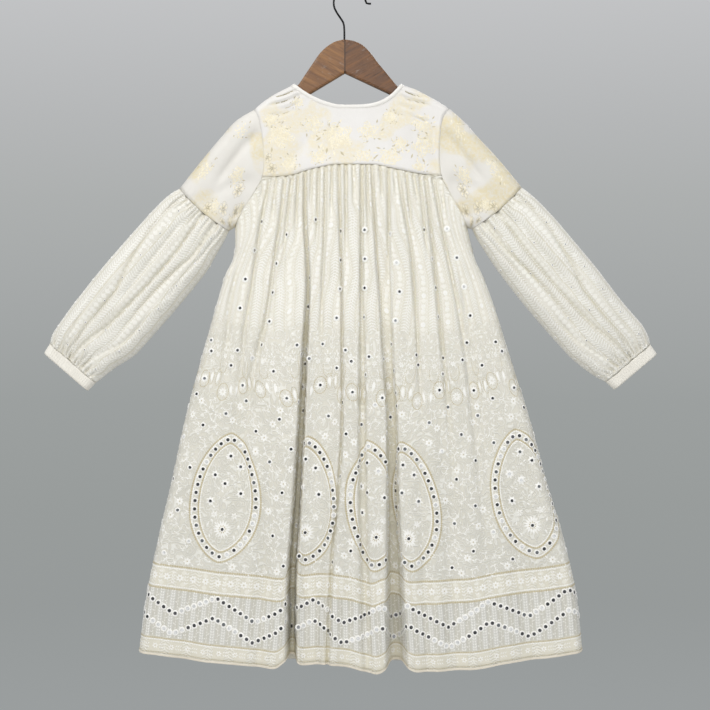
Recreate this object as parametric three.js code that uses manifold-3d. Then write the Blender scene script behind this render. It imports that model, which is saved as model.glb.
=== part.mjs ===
// A long-sleeved girl's kurti on its wooden hanger, seen from the side of the
// shallow neckline (the back of the garment), which faces -Y.
// Millimetres, +Z up. Origin: the inside top of the hook's loop.
//
// The cloth is a set of open walls. A body panel is a height field y(x, z)
// worked out from a depth table, the rounding at shoulder and side seam, and
// a table of folds. A sleeve is a tube through flattened sections. The cloth
// has its own frame: x from the centre line, z from the two neck points.

import * as THREE from 'three';
import { mergeVertices } from 'three/addons/utils/BufferGeometryUtils.js';
import Module from 'manifold-3d';

const wasm = await Module();
wasm.setup();

// ---------------------------------------------------------------- sizes
const WALL = 2.0;              // cloth wall
const GAP = 0.3;               // gap left at every seam
const CURVED_GAP = 0.45;       // gap where both sides of a seam are curved
const NECK_GAP = 0.65;         // gap between binding and yoke, along the shoulder
const CLOTH_X = 1.6;           // cloth frame in the hook's frame
const CLOTH_Z = -154.6;

const SHOULDER_ROUND = 10.0;   // rounding of the cloth over the hanger
const SIDE_ROUND = 15.0;       // rounding at the side seam and armpit
const BINDING_WIDTH = 5.5;     // bias binding round the neck
const BINDING_PROUD = 0.4;
const SLIT_LENGTH = 80.0;      // slit below the front neckline
const SLIT_WIDTH = 3.0;

const HANGER_THICK = 12.0;
const HANGER_BEVEL = 3.5;
const WIRE_R = 1.6;
const LOOP_R = 25.6;           // loop, to the middle of the wire
const LOOP_X = -0.5;
const STEM_X = -9.0;
const MITRE_X = -8.2;
const STEM_DEEP = 22.0;        // length of the stem inside the wood

// Neckline of each side: how far it drops below the neck points, and how
// square its two halves are.
const NECK_CENTRE = -5.7;
const NECK_HALF = 85.2;
const NECK = {
  back: { depth: 34.0, leftPower: 2.05, rightPower: 3.4 },
  front: { depth: 62.0, leftPower: 2.3, rightPower: 2.6 },
};

// Shoulder line, from the neck point outwards.
const SHOULDER = [
  { left: -60.0, leftZ: 16.0, right: 50.0, rightZ: 13.5 },
  { left: -91.0, leftZ: 0.0, right: 79.5, rightZ: 0.0 },
  { left: -102.4, leftZ: -5.4, right: 100.8, rightZ: -7.0 },
  { left: -126.4, leftZ: -18.2, right: 123.2, rightZ: -18.2 },
  { left: -145.6, leftZ: -31.8, right: 145.6, rightZ: -31.0 },
  { left: -155.2, leftZ: -40.6, right: 157.8, rightZ: -39.4 },
];

// Armhole seam from the shoulder point to the armpit. The yoke ends at the
// fourth row.
const ARMHOLE = [
  { left: -155.2, leftZ: -40.6, right: 157.8, rightZ: -39.4 },
  { left: -146.0, leftZ: -60.0, right: 146.0, rightZ: -58.0 },
  { left: -139.8, leftZ: -106.0, right: 141.6, rightZ: -104.0 },
  { left: -141.6, leftZ: -149.4, right: 144.2, rightZ: -147.0 },
  { left: -158.0, leftZ: -178.0, right: 157.5, rightZ: -174.0 },
  { left: -173.0, leftZ: -202.0, right: 172.0, rightZ: -199.0 },
  { left: -185.6, leftZ: -227.8, right: 185.6, rightZ: -227.8 },
];
const YOKE_CORNER = 3;

// Yoke seam of the back: it rises in the middle. The front's is straight.
const YOKE_SEAM = [
  { x: -104.0, z: -147.6 },
  { x: -61.0, z: -136.2 },
  { x: -20.0, z: -129.2 },
  { x: 30.0, z: -129.2 },
  { x: 72.0, z: -136.4 },
  { x: 115.0, z: -144.6 },
];

// Side seams, armpit to hem.
const SIDE = [
  { z: -227.8, left: -185.6, right: 185.6 },
  { z: -257.0, left: -184.8, right: 192.0 },
  { z: -284.0, left: -190.4, right: 200.0 },
  { z: -300.0, left: -199.0, right: 208.0 },
  { z: -345.0, left: -212.8, right: 225.6 },
  { z: -441.0, left: -240.0, right: 256.0 },
  { z: -537.0, left: -265.6, right: 286.4 },
  { z: -633.0, left: -286.4, right: 312.0 },
  { z: -729.0, left: -308.8, right: 340.8 },
  { z: -825.0, left: -328.0, right: 361.6 },
  { z: -904.0, left: -338.4, right: 369.6 },
];

// Half depth of the hanging body, in its middle and towards its edges.
const DEPTH = [
  { z: 30.0, middle: 10.4, edge: 10.4 },
  { z: -40.0, middle: 10.8, edge: 10.8 },
  { z: -90.0, middle: 14.0, edge: 12.5 },
  { z: -150.0, middle: 20.0, edge: 14.0 },
  { z: -228.0, middle: 25.0, edge: 15.0 },
  { z: -400.0, middle: 33.0, edge: 18.0 },
  { z: -650.0, middle: 41.0, edge: 23.0 },
  { z: -930.0, middle: 47.0, edge: 28.0 },
];

// Hem of each side: height along the width.
const HEM_BACK = [
  { x: -338.4, z: -904.0 },
  { x: -290.0, z: -910.0 },
  { x: -232.0, z: -917.5 },
  { x: -176.0, z: -921.5 },
  { x: -122.0, z: -926.5 },
  { x: -96.0, z: -912.5 },
  { x: -76.0, z: -923.0 },
  { x: -40.0, z: -920.0 },
  { x: 0.0, z: -924.5 },
  { x: 40.0, z: -934.0 },
  { x: 73.0, z: -919.0 },
  { x: 105.0, z: -931.5 },
  { x: 190.0, z: -929.0 },
  { x: 250.0, z: -919.5 },
  { x: 320.0, z: -911.0 },
  { x: 369.6, z: -903.0 },
];
const HEM_FRONT = [
  { x: -338.4, z: -904.0 },
  { x: -230.0, z: -916.0 },
  { x: -60.0, z: -927.0 },
  { x: 80.0, z: -928.0 },
  { x: 250.0, z: -917.0 },
  { x: 369.6, z: -903.0 },
];

// Folds: where each trough runs (x at the yoke seam, at z -390, at z -665 and
// at the hem), how deep it is there, and its half width above and below.
const FOLD_LEVELS = [-150.0, -390.0, -665.0, -930.0];
const FOLDS_BACK = [
  { x0: -126, x1: -170, x2: -200, x3: -215, d0: 4, d1: 5, d2: 0, d3: 0, wTop: 7, wHem: 12 },
  { x0: -105, x1: -138, x2: -150, x3: -160, d0: 4, d1: 6, d2: 2, d3: 0, wTop: 9, wHem: 14 },
  { x0: -72, x1: -70, x2: -86, x3: -96, d0: 8, d1: 11, d2: 26, d3: 58, wTop: 8, wHem: 13 },
  { x0: -43, x1: -48, x2: -52, x3: -60, d0: 4, d1: 4, d2: 0, d3: 0, wTop: 7, wHem: 10 },
  { x0: -19, x1: -14, x2: -24, x3: -39, d0: 5, d1: 7, d2: 7, d3: 12, wTop: 8, wHem: 9 },
  { x0: 9, x1: 16, x2: 20, x3: 22, d0: 4, d1: 5, d2: 4, d3: 3, wTop: 7, wHem: 11 },
  { x0: 33, x1: 49, x2: 60, x3: 66, d0: 8, d1: 12, d2: 24, d3: 50, wTop: 8, wHem: 13 },
  { x0: 61, x1: 67, x2: 78, x3: 84, d0: 6, d1: 7, d2: 12, d3: 26, wTop: 8, wHem: 11 },
  { x0: 88, x1: 105, x2: 116, x3: 124, d0: 4, d1: 5, d2: 0, d3: 0, wTop: 7, wHem: 12 },
  { x0: 118, x1: 150, x2: 170, x3: 180, d0: 4, d1: 5, d2: 0, d3: 0, wTop: 8, wHem: 12 },
  { x0: 134, x1: 196, x2: 218, x3: 230, d0: 1, d1: 5, d2: 5, d3: 3, wTop: 8, wHem: 16 },
];
const FOLDS_FRONT = [
  { x0: -112, x1: -144, x2: -170, x3: -188, d0: 4, d1: 6, d2: 8, d3: 10, wTop: 9, wHem: 15 },
  { x0: -66, x1: -92, x2: -118, x3: -136, d0: 6, d1: 7, d2: 10, d3: 14, wTop: 9, wHem: 15 },
  { x0: -24, x1: -24, x2: -22, x3: -20, d0: 7, d1: 9, d2: 13, d3: 18, wTop: 9, wHem: 15 },
  { x0: 18, x1: 22, x2: 26, x3: 32, d0: 6, d1: 7, d2: 9, d3: 13, wTop: 8, wHem: 13 },
  { x0: 70, x1: 98, x2: 118, x3: 134, d0: 6, d1: 7, d2: 10, d3: 15, wTop: 9, wHem: 15 },
  { x0: 112, x1: 150, x2: 180, x3: 206, d0: 4, d1: 5, d2: 5, d3: 6, wTop: 9, wHem: 16 },
];

// Upper sleeves, armhole to gathered seam: top and bottom point of each
// section, its half depth, and how much of the armhole's bow is left.
const UPPER_LEFT = [
  { topX: -155.2, topZ: -40.6, botX: -185.6, botZ: -227.8, depth: 0, bow: 1.0, belly: 0 },
  { topX: -182.4, topZ: -57.0, botX: -187.6, botZ: -229.6, depth: 16, bow: 0.6, belly: 0 },
  { topX: -209.0, topZ: -86.0, botX: -190.4, botZ: -231.6, depth: 18, bow: 0.3, belly: 1 },
  { topX: -239.0, topZ: -122.0, botX: -193.0, botZ: -232.8, depth: 20, bow: 0.1, belly: 2.5 },
  { topX: -274.0, topZ: -166.4, botX: -195.3, botZ: -234.3, depth: 21, bow: 0.0, belly: 5 },
];
const UPPER_RIGHT = [
  { topX: 157.8, topZ: -39.4, botX: 185.6, botZ: -227.8, depth: 0, bow: 1.0, belly: 0 },
  { topX: 181.0, topZ: -59.6, botX: 187.2, botZ: -229.4, depth: 16, bow: 0.6, belly: 0 },
  { topX: 208.0, topZ: -89.6, botX: 189.6, botZ: -230.2, depth: 18, bow: 0.3, belly: 1 },
  { topX: 238.0, topZ: -122.0, botX: 191.8, botZ: -230.8, depth: 20, bow: 0.1, belly: 2.5 },
  { topX: 272.6, topZ: -164.4, botX: 193.6, botZ: -231.0, depth: 21, bow: 0.0, belly: 5 },
];

// Lower sleeves and cuffs: distance along the sleeve from the gathered seam,
// reach above and below its line, and half depth.
const LOWER_LEFT = {
  originX: -234.4, originZ: -200.6, alongX: -0.654, alongZ: -0.757,
  rows: [
    { s: 0.3, top: 52.3, bottom: -51.6, depth: 21 },
    { s: 12, top: 56.5, bottom: -55.0, depth: 25 },
    { s: 36, top: 60.5, bottom: -60.0, depth: 28 },
    { s: 80, top: 62.3, bottom: -67.5, depth: 30 },
    { s: 160, top: 63.0, bottom: -69.4, depth: 30 },
    { s: 240, top: 60.5, bottom: -68.2, depth: 27 },
    { s: 286, top: 56.8, bottom: -56.6, depth: 23 },
    { s: 308, top: 54.0, bottom: -52.0, depth: 18 },
    { s: 322, top: 47.8, bottom: -49.4, depth: 14 },
  ],
  cuff: [
    { s: 322.3, top: 47.4, bottom: -49.2, depth: 13 },
    { s: 331, top: 46.0, bottom: -48.8, depth: 12 },
    { s: 340.5, top: 44.4, bottom: -48.2, depth: 12 },
  ],
};
const LOWER_RIGHT = {
  originX: 234.4, originZ: -196.6, alongX: 0.644, alongZ: -0.765,
  rows: [
    { s: 0.3, top: 50.0, bottom: -53.4, depth: 21 },
    { s: 14, top: 53.4, bottom: -57.0, depth: 25 },
    { s: 43, top: 57.0, bottom: -61.0, depth: 28 },
    { s: 84, top: 58.8, bottom: -65.4, depth: 30 },
    { s: 160, top: 58.8, bottom: -68.0, depth: 30 },
    { s: 250, top: 55.4, bottom: -66.0, depth: 27 },
    { s: 290, top: 56.0, bottom: -59.6, depth: 23 },
    { s: 312, top: 52.0, bottom: -53.0, depth: 18 },
    { s: 324, top: 46.2, bottom: -47.8, depth: 14 },
  ],
  cuff: [
    { s: 324.3, top: 45.8, bottom: -47.6, depth: 13 },
    { s: 333, top: 45.0, bottom: -46.6, depth: 12 },
    { s: 343, top: 44.2, bottom: -45.0, depth: 12 },
  ],
};
// Long soft troughs down the lower sleeves: place across (0 at the upper
// edge, 1 at the lower), depth, and the stretch they run over.
const SLEEVE_FOLDS = [
  { across: 0.3, depth: 4.5, width: 0.07, from: 10, to: 260 },
  { across: 0.56, depth: 6.0, width: 0.08, from: 0, to: 300 },
  { across: 0.8, depth: 4.0, width: 0.06, from: 60, to: 320 },
];

// Hanger arm, in the hook's frame: top edge, and the straight lower edge.
const HANGER_LEFT = {
  start: { x: 8.0, z: -83.0 },
  top: [
    { x: -9.0, z: -82.8 }, { x: -22.9, z: -85.8 }, { x: -35.7, z: -93.3 },
    { x: -48.6, z: -105.4 }, { x: -61.4, z: -124.0 }, { x: -73.8, z: -142.2 },
    { x: -83.6, z: -156.4 }, { x: -96.0, z: -163.9 }, { x: -124.0, z: -178.8 },
    { x: -141.0, z: -189.8 }, { x: -150.4, z: -199.6 },
  ],
  end: { x: -151.6, z: -208.0 },
  lower: [{ x: -146.0, z: -217.0 }, { x: -63.5, z: -170.2 }, { x: -8.2, z: -137.0 }, { x: 8.0, z: -137.0 }],
};
const HANGER_RIGHT = {
  start: { x: -24.0, z: -83.0 },
  top: [
    { x: -8.2, z: -82.8 }, { x: 7.2, z: -85.4 }, { x: 22.1, z: -93.1 },
    { x: 35.0, z: -107.0 }, { x: 45.8, z: -121.6 }, { x: 58.6, z: -136.6 },
    { x: 68.8, z: -149.2 }, { x: 78.4, z: -159.4 }, { x: 96.0, z: -166.2 },
    { x: 125.0, z: -179.6 }, { x: 146.0, z: -192.2 }, { x: 154.4, z: -200.4 },
  ],
  end: { x: 156.2, z: -208.4 },
  lower: [{ x: 150.0, z: -217.6 }, { x: 65.0, z: -171.4 }, { x: -8.2, z: -137.0 }, { x: -24.0, z: -137.0 }],
};

// How finely each panel is divided.
const YOKE_ROWS = [0, 0.006, 0.026, 0.062, 0.12, 0.3, 0.54, 0.78, 1];
const ARMPIT_STEPS = [0.3, 0.58, 0.8, 0.94, 1];
const SKIRT_ROWS_BACK = 10;
const SKIRT_ROWS_FRONT = 8;
const SKIRT_COLUMNS_BACK = 44;   // between the two yoke corners
const SKIRT_COLUMNS_FRONT = 28;

// ------------------------------------------------------------ small maths
const V = (x, y, z) => new THREE.Vector3(x, y, z);
const lerp = (a, b, t) => a + (b - a) * t;
const clamp01 = (t) => Math.min(1, Math.max(0, t));

// Smooth value of one column of a table at a place along its key column.
function read(table, key, column, at) {
  const rising = table[table.length - 1][key] > table[0][key];
  const rows = rising ? table : [...table].reverse();
  const n = rows.length;
  if (at <= rows[0][key]) return rows[0][column];
  if (at >= rows[n - 1][key]) return rows[n - 1][column];
  let i = 0;
  while (at > rows[i + 1][key]) i += 1;
  const slope = (a, b) => (rows[b][column] - rows[a][column]) / (rows[b][key] - rows[a][key]);
  const width = rows[i + 1][key] - rows[i][key];
  const here = slope(i, i + 1);
  const tangent = (k) => {
    if (k === 0 || k === n - 1) return here;
    const before = slope(k - 1, k);
    const after = slope(k, k + 1);
    return before * after <= 0 ? 0 : (2 * before * after) / (before + after);
  };
  const t = (at - rows[i][key]) / width;
  const t2 = t * t;
  const t3 = t2 * t;
  return rows[i][column] * (2 * t3 - 3 * t2 + 1) + tangent(i) * width * (t3 - 2 * t2 + t)
    + rows[i + 1][column] * (3 * t2 - 2 * t3) + tangent(i + 1) * width * (t3 - t2);
}

// Quarter-round profile: 0 at the edge, 1 from the given radius inwards.
const roundOff = (distance, radius) => {
  const t = 1 - clamp01(distance / radius);
  return Math.sqrt(Math.max(0, 1 - t * t));
};

// ------------------------------------------------------------ closed walls
function meshFrom(name, positions, triangles, material) {
  let geometry = new THREE.BufferGeometry();
  geometry.setAttribute('position', new THREE.Float32BufferAttribute(positions, 3));
  geometry.setIndex(triangles);
  let volume = 0;
  const at = (i) => V(positions[3 * i], positions[3 * i + 1], positions[3 * i + 2]);
  for (let k = 0; k < triangles.length; k += 3) {
    volume += at(triangles[k]).dot(at(triangles[k + 1]).cross(at(triangles[k + 2])));
  }
  if (volume < 0) {
    const flipped = [];
    for (let k = 0; k < triangles.length; k += 3) {
      flipped.push(triangles[k], triangles[k + 2], triangles[k + 1]);
    }
    geometry.setIndex(flipped);
  }
  geometry.computeVertexNormals();
  const mesh = new THREE.Mesh(geometry, material);
  mesh.name = name;
  return mesh;
}

// A wall from a grid of points (rows of equal length). outward(point) is a
// rough outward direction. pinned(i, j) may give a vertex its own normal.
function wall(name, grid, material, { thickness = WALL, wrap = false, outward, pinned, proud = 0 }) {
  const rows = grid.length;
  const columns = grid[0].length;
  const normals = grid.map((row, i) => row.map((point, j) => {
    const own = pinned ? pinned(i, j, point) : null;
    if (own) return own;
    const up = grid[Math.max(0, i - 1)][j];
    const down = grid[Math.min(rows - 1, i + 1)][j];
    const left = wrap ? row[(j + columns - 1) % columns] : row[Math.max(0, j - 1)];
    const right = wrap ? row[(j + 1) % columns] : row[Math.min(columns - 1, j + 1)];
    const n = right.clone().sub(left).cross(down.clone().sub(up)).normalize();
    if (n.dot(outward(point, i, j)) < 0) n.negate();
    return n;
  }));
  const positions = [];
  const put = (p) => positions.push(p.x, p.y, p.z);
  grid.forEach((row, i) => row.forEach((p, j) => put(p.clone().addScaledVector(normals[i][j], proud))));
  grid.forEach((row, i) => row.forEach((p, j) => put(p.clone().addScaledVector(normals[i][j], proud - thickness))));
  const total = rows * columns;
  const outer = (i, j) => i * columns + (j % columns);
  const inner = (i, j) => total + outer(i, j);
  const triangles = [];
  const quad = (a, b, c, d) => triangles.push(a, b, c, a, c, d);
  const last = wrap ? columns : columns - 1;
  for (let i = 0; i < rows - 1; i += 1) {
    for (let j = 0; j < last; j += 1) {
      quad(outer(i, j), outer(i + 1, j), outer(i + 1, j + 1), outer(i, j + 1));
      quad(inner(i, j), inner(i, j + 1), inner(i + 1, j + 1), inner(i + 1, j));
    }
  }
  for (let j = 0; j < last; j += 1) {
    quad(outer(0, j), outer(0, j + 1), inner(0, j + 1), inner(0, j));
    quad(outer(rows - 1, j), inner(rows - 1, j), inner(rows - 1, j + 1), outer(rows - 1, j + 1));
  }
  if (!wrap) {
    for (let i = 0; i < rows - 1; i += 1) {
      quad(outer(i, 0), inner(i, 0), inner(i + 1, 0), outer(i + 1, 0));
      quad(outer(i, columns - 1), outer(i + 1, columns - 1), inner(i + 1, columns - 1), inner(i, columns - 1));
    }
  }
  return meshFrom(name, positions, triangles, material);
}

const toManifold = (geometry) => {
  const bare = geometry.clone();
  bare.deleteAttribute('normal');
  bare.deleteAttribute('uv');
  const merged = mergeVertices(bare, 1e-4);
  return new wasm.Manifold(new wasm.Mesh({
    numProp: 3,
    vertProperties: new Float32Array(merged.attributes.position.array),
    triVerts: new Uint32Array(merged.index.array),
  }));
};
const fromManifold = (solid) => {
  const data = solid.getMesh();
  const geometry = new THREE.BufferGeometry();
  const points = [];
  for (let i = 0; i < data.numVert; i += 1) {
    for (let k = 0; k < 3; k += 1) points.push(data.vertProperties[i * data.numProp + k]);
  }
  geometry.setAttribute('position', new THREE.Float32BufferAttribute(points, 3));
  geometry.setIndex(Array.from(data.triVerts));
  geometry.computeVertexNormals();
  return geometry;
};

// --------------------------------------------------------------- the body
const shoulderZ = (x) => (x < 0
  ? read(SHOULDER, 'left', 'leftZ', x) : read(SHOULDER, 'right', 'rightZ', x));
const shoulderSlope = (x) => Math.atan2(shoulderZ(x + 1) - shoulderZ(x - 1), 2);
const sideX = (side, z) => read(SIDE, 'z', side, z);

function halfWidthAt(side, z) {
  if (z < ARMHOLE[6].leftZ) return Math.abs(sideX(side, z));
  return Math.abs(read(ARMHOLE, `${side}Z`, side, z));
}

function foldDepth(folds, x, z) {
  const t = (FOLD_LEVELS[0] - z) / (FOLD_LEVELS[0] - FOLD_LEVELS[3]);
  if (t < -0.02) return 0;
  let sum = 0;
  for (const fold of folds) {
    const levels = FOLD_LEVELS.map((level, k) => ({ level, x: fold[`x${k}`], d: fold[`d${k}`] }));
    const at = read(levels, 'level', 'x', z);
    const deep = read(levels, 'level', 'd', z);
    const width = lerp(fold.wTop, fold.wHem, clamp01(t));
    const q = (x - at) / width;
    sum += deep * Math.exp(-q * q * 0.9);
  }
  return sum;
}

// Half depth of the cloth at a place on the body, folds left out.
function halfDepth(x, z) {
  const side = x < 0 ? 'left' : 'right';
  const width = halfWidthAt(side, z);
  const q = clamp01(Math.abs(x) / width);
  const middle = read(DEPTH, 'z', 'middle', z);
  const edge = read(DEPTH, 'z', 'edge', z);
  const full = edge + (middle - edge) * (1 - q * q) ** 2;
  const below = (shoulderZ(x) - z) * Math.cos(shoulderSlope(x));
  const top = z > -100 ? roundOff(Math.max(0, below), SHOULDER_ROUND) : 1;
  const pit = ARMHOLE[6];
  const toSide = z < pit.leftZ
    ? width - Math.abs(x)
    : Math.hypot(Math.abs(x) - Math.abs(pit[side]), z - pit[`${side}Z`]);
  return full * top * roundOff(Math.max(0, toSide), SIDE_ROUND);
}

const FACE = { back: -1, front: 1 };
// Reach of the cloth from the middle plane, folds taken off.
function reach(x, z, folds) {
  const deep = Math.max(GAP / 2, halfDepth(x, z));
  if (!folds) return deep;
  const side = x < 0 ? 'left' : 'right';
  return deep - foldDepth(folds, x, z) * clamp01((halfWidthAt(side, z) - Math.abs(x)) / 22);
}
const onBody = (face, x, z, folds) => V(x, FACE[face] * reach(x, z, folds), z);
function bodyNormal(face, x, z, folds) {
  const e = 0.1;
  const dx = (reach(x + e, z, folds) - reach(x - e, z, folds)) / (2 * e);
  const dz = (reach(x, z + e, folds) - reach(x, z - e, folds)) / (2 * e);
  return V(-dx, FACE[face], -dz).normalize();
}

// Armhole seam: places from the shoulder point to the armpit, the first nine
// on the yoke, and the normal of the cloth there.
function armholeCurve(side) {
  return new THREE.SplineCurve(ARMHOLE.map((row) => new THREE.Vector2(row[side], row[`${side}Z`])));
}
const ARM_CURVE = { left: armholeCurve('left'), right: armholeCurve('right') };
const CORNER_AT = { left: 0, right: 0 };
for (const side of ['left', 'right']) {
  const curve = ARM_CURVE[side];
  const lengths = curve.getLengths(600);
  CORNER_AT[side] = lengths[Math.round((600 * YOKE_CORNER) / 6)] / lengths[600];
}
const armholeFractions = (side) => [
  ...YOKE_ROWS.map((v) => v * CORNER_AT[side]),
  ...ARMPIT_STEPS.map((v) => lerp(CORNER_AT[side], 1, v)),
];
function armholePoint(side, face, fraction) {
  const p = ARM_CURVE[side].getPointAt(clamp01(fraction));
  const point = onBody(face, p.x, p.y, null);
  if (fraction <= 0 || fraction >= 1) point.y = 0;
  return point;
}
// The seam's normal lies in the plane of the seam's chord and the y axis.
function armholeNormal(side, face, fraction) {
  if (fraction <= 1e-6 || fraction >= 1 - 1e-6) {
    const top = ARMHOLE[0];
    const pit = ARMHOLE[6];
    const chord = V(pit[side] - top[side], 0, pit[`${side}Z`] - top[`${side}Z`]).normalize();
    return fraction <= 1e-6 ? chord.negate() : chord;
  }
  const step = 0.004;
  const a = armholePoint(side, face, Math.max(0, fraction - step));
  const b = armholePoint(side, face, Math.min(1, fraction + step));
  const flatA = V(a.x, 0, a.z);
  const flatB = V(b.x, 0, b.z);
  const along = flatB.sub(flatA);
  const run = along.length();
  const n = along.normalize().multiplyScalar(-(b.y - a.y) * FACE[face]).add(V(0, FACE[face] * run, 0));
  return n.normalize();
}

// Neck edge: t runs -1..1 from the left neck point to the right one, out is
// how far outside the free edge of the binding the place lies.
function neckPoint(face, t, out) {
  const neck = NECK[face];
  const half = NECK_HALF + out;
  const power = lerp(neck.leftPower, neck.rightPower, clamp01((t + 0.35) / 0.7));
  const x = NECK_CENTRE + t * half;
  const endZ = shoulderZ(NECK_CENTRE + Math.sign(t || 1) * half);
  const lift = Math.abs(t) ** power;
  const z = lerp(-(neck.depth + out), endZ, lift);
  const point = onBody(face, x, z, null);
  if (Math.abs(t) >= 1) point.y = FACE[face] * (GAP / 2);
  return point;
}

// Normal of the unfolded body at a place on the neck edge.
function neckNormal(face, t, out) {
  if (Math.abs(t) >= 1) {
    const slope = shoulderSlope(NECK_CENTRE + Math.sign(t) * (NECK_HALF + 3));
    return V(-Math.sin(slope), 0, Math.cos(slope));
  }
  const p = neckPoint(face, t, out);
  return bodyNormal(face, p.x, p.z, null);
}

// Blend of four edges into a grid of (x, z) places.
function patch(top, bottom, left, right) {
  const rows = left.length;
  const columns = top.length;
  const span = (list) => {
    const run = [0];
    for (let k = 1; k < list.length; k += 1) run.push(run[k - 1] + list[k].distanceTo(list[k - 1]));
    return run.map((r) => r / run[run.length - 1]);
  };
  const uTop = span(top);
  const uBottom = span(bottom);
  const vLeft = span(left);
  const vRight = span(right);
  const grid = [];
  for (let i = 0; i < rows; i += 1) {
    const row = [];
    for (let j = 0; j < columns; j += 1) {
      const v = lerp(vLeft[i], vRight[i], j / (columns - 1));
      const u = lerp(uTop[j], uBottom[j], v);
      const mix = (key) => lerp(top[j][key], bottom[j][key], v)
        + lerp(left[i][key], right[i][key], u)
        - lerp(lerp(top[0][key], top[columns - 1][key], u),
          lerp(bottom[0][key], bottom[columns - 1][key], u), v);
      row.push(new THREE.Vector2(mix('x'), mix('y')));
    }
    grid.push(row);
  }
  return grid;
}

const flat = (p) => new THREE.Vector2(p.x, p.z);

// Yoke of one side, from neck and shoulder to the yoke seam.
const NECK_STEPS = [-1, -0.985, -0.96, -0.92, -0.85, -0.74, -0.58, -0.4, -0.2, 0, 0.2, 0.4, 0.58, 0.74, 0.85, 0.92, 0.96, 0.985, 1];
function seamZ(face, x) {
  const a = ARMHOLE[YOKE_CORNER];
  if (face === 'front') return lerp(a.leftZ, a.rightZ, (x - a.left) / (a.right - a.left));
  const rows = [{ x: a.left, z: a.leftZ }, ...YOKE_SEAM, { x: a.right, z: a.rightZ }];
  return read(rows, 'x', 'z', x);
}
function yokeGrid(face) {
  const out = BINDING_WIDTH + NECK_GAP;
  const top = [];
  const startL = NECK_CENTRE - NECK_HALF - out;
  const startR = NECK_CENTRE + NECK_HALF + out;
  const shoulderSteps = 4;
  for (let k = 0; k < shoulderSteps; k += 1) {
    const x = lerp(ARMHOLE[0].left, startL, k / shoulderSteps);
    top.push(new THREE.Vector2(x, k ? shoulderZ(x) : ARMHOLE[0].leftZ));
  }
  NECK_STEPS.forEach((t) => top.push(flat(neckPoint(face, t, out))));
  for (let k = 1; k <= shoulderSteps; k += 1) {
    const x = lerp(startR, ARMHOLE[0].right, k / shoulderSteps);
    top.push(new THREE.Vector2(x, k < shoulderSteps ? shoulderZ(x) : ARMHOLE[0].rightZ));
  }
  const side = (name) => YOKE_ROWS.map((v) => ARM_CURVE[name].getPointAt(v * CORNER_AT[name]));
  const left = side('left');
  const right = side('right');
  const a = left[left.length - 1];
  const b = right[right.length - 1];
  const bottom = top.map((p, j) => {
    const spread = lerp((p.x - top[0].x) / (top[top.length - 1].x - top[0].x), j / (top.length - 1), 0.45);
    const x = lerp(a.x, b.x, spread);
    return new THREE.Vector2(x, seamZ(face, x));
  });
  const places = patch(top, bottom, left, right);
  const shoulderEnd = shoulderSteps;
  return places.map((row, i) => row.map((p, j) => {
    const edge = j === 0 || j === row.length - 1;
    const point = onBody(face, p.x, p.y, null);
    if (edge) {
      const name = j === 0 ? 'left' : 'right';
      return armholePoint(name, face, YOKE_ROWS[i] * CORNER_AT[name]);
    }
    if (i === 0 && (j <= shoulderEnd || j >= row.length - 1 - shoulderEnd)) point.y = FACE[face] * (GAP / 2);
    return point;
  }));
}

function yoke(name, face, material) {
  const grid = yokeGrid(face);
  const rows = grid.length;
  const columns = grid[0].length;
  const shoulderEnd = 4;
  const placed = grid.map((row, i) => row.map((p, j) => {
    const q = p.clone();
    if (i === rows - 1) q.z += CURVED_GAP / 2;
    if (j === 0) q.x += GAP / 2;
    if (j === columns - 1) q.x -= GAP / 2;
    if (i === 0 && (j <= shoulderEnd || j >= columns - 1 - shoulderEnd)) q.y = FACE[face] * (GAP / 2);
    return q;
  }));
  return wall(name, placed, material, {
    outward: () => V(0, FACE[face], 0.01),
    pinned: (i, j, p) => {
      if (i === 0 && (j < shoulderEnd || j > columns - 1 - shoulderEnd)) {
        const slope = shoulderSlope(p.x);
        return V(-Math.sin(slope), 0, Math.cos(slope));
      }
      if (i === 0) return neckNormal(face, NECK_STEPS[j - shoulderEnd], BINDING_WIDTH + NECK_GAP / 2);
      if (j === 0) return armholeNormal('left', face, YOKE_ROWS[i] * CORNER_AT.left);
      if (j === columns - 1) return armholeNormal('right', face, YOKE_ROWS[i] * CORNER_AT.right);
      if (i === rows - 1) return V(0, FACE[face], 0);
      return bodyNormal(face, p.x, p.z, null);
    },
  });
}

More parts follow.
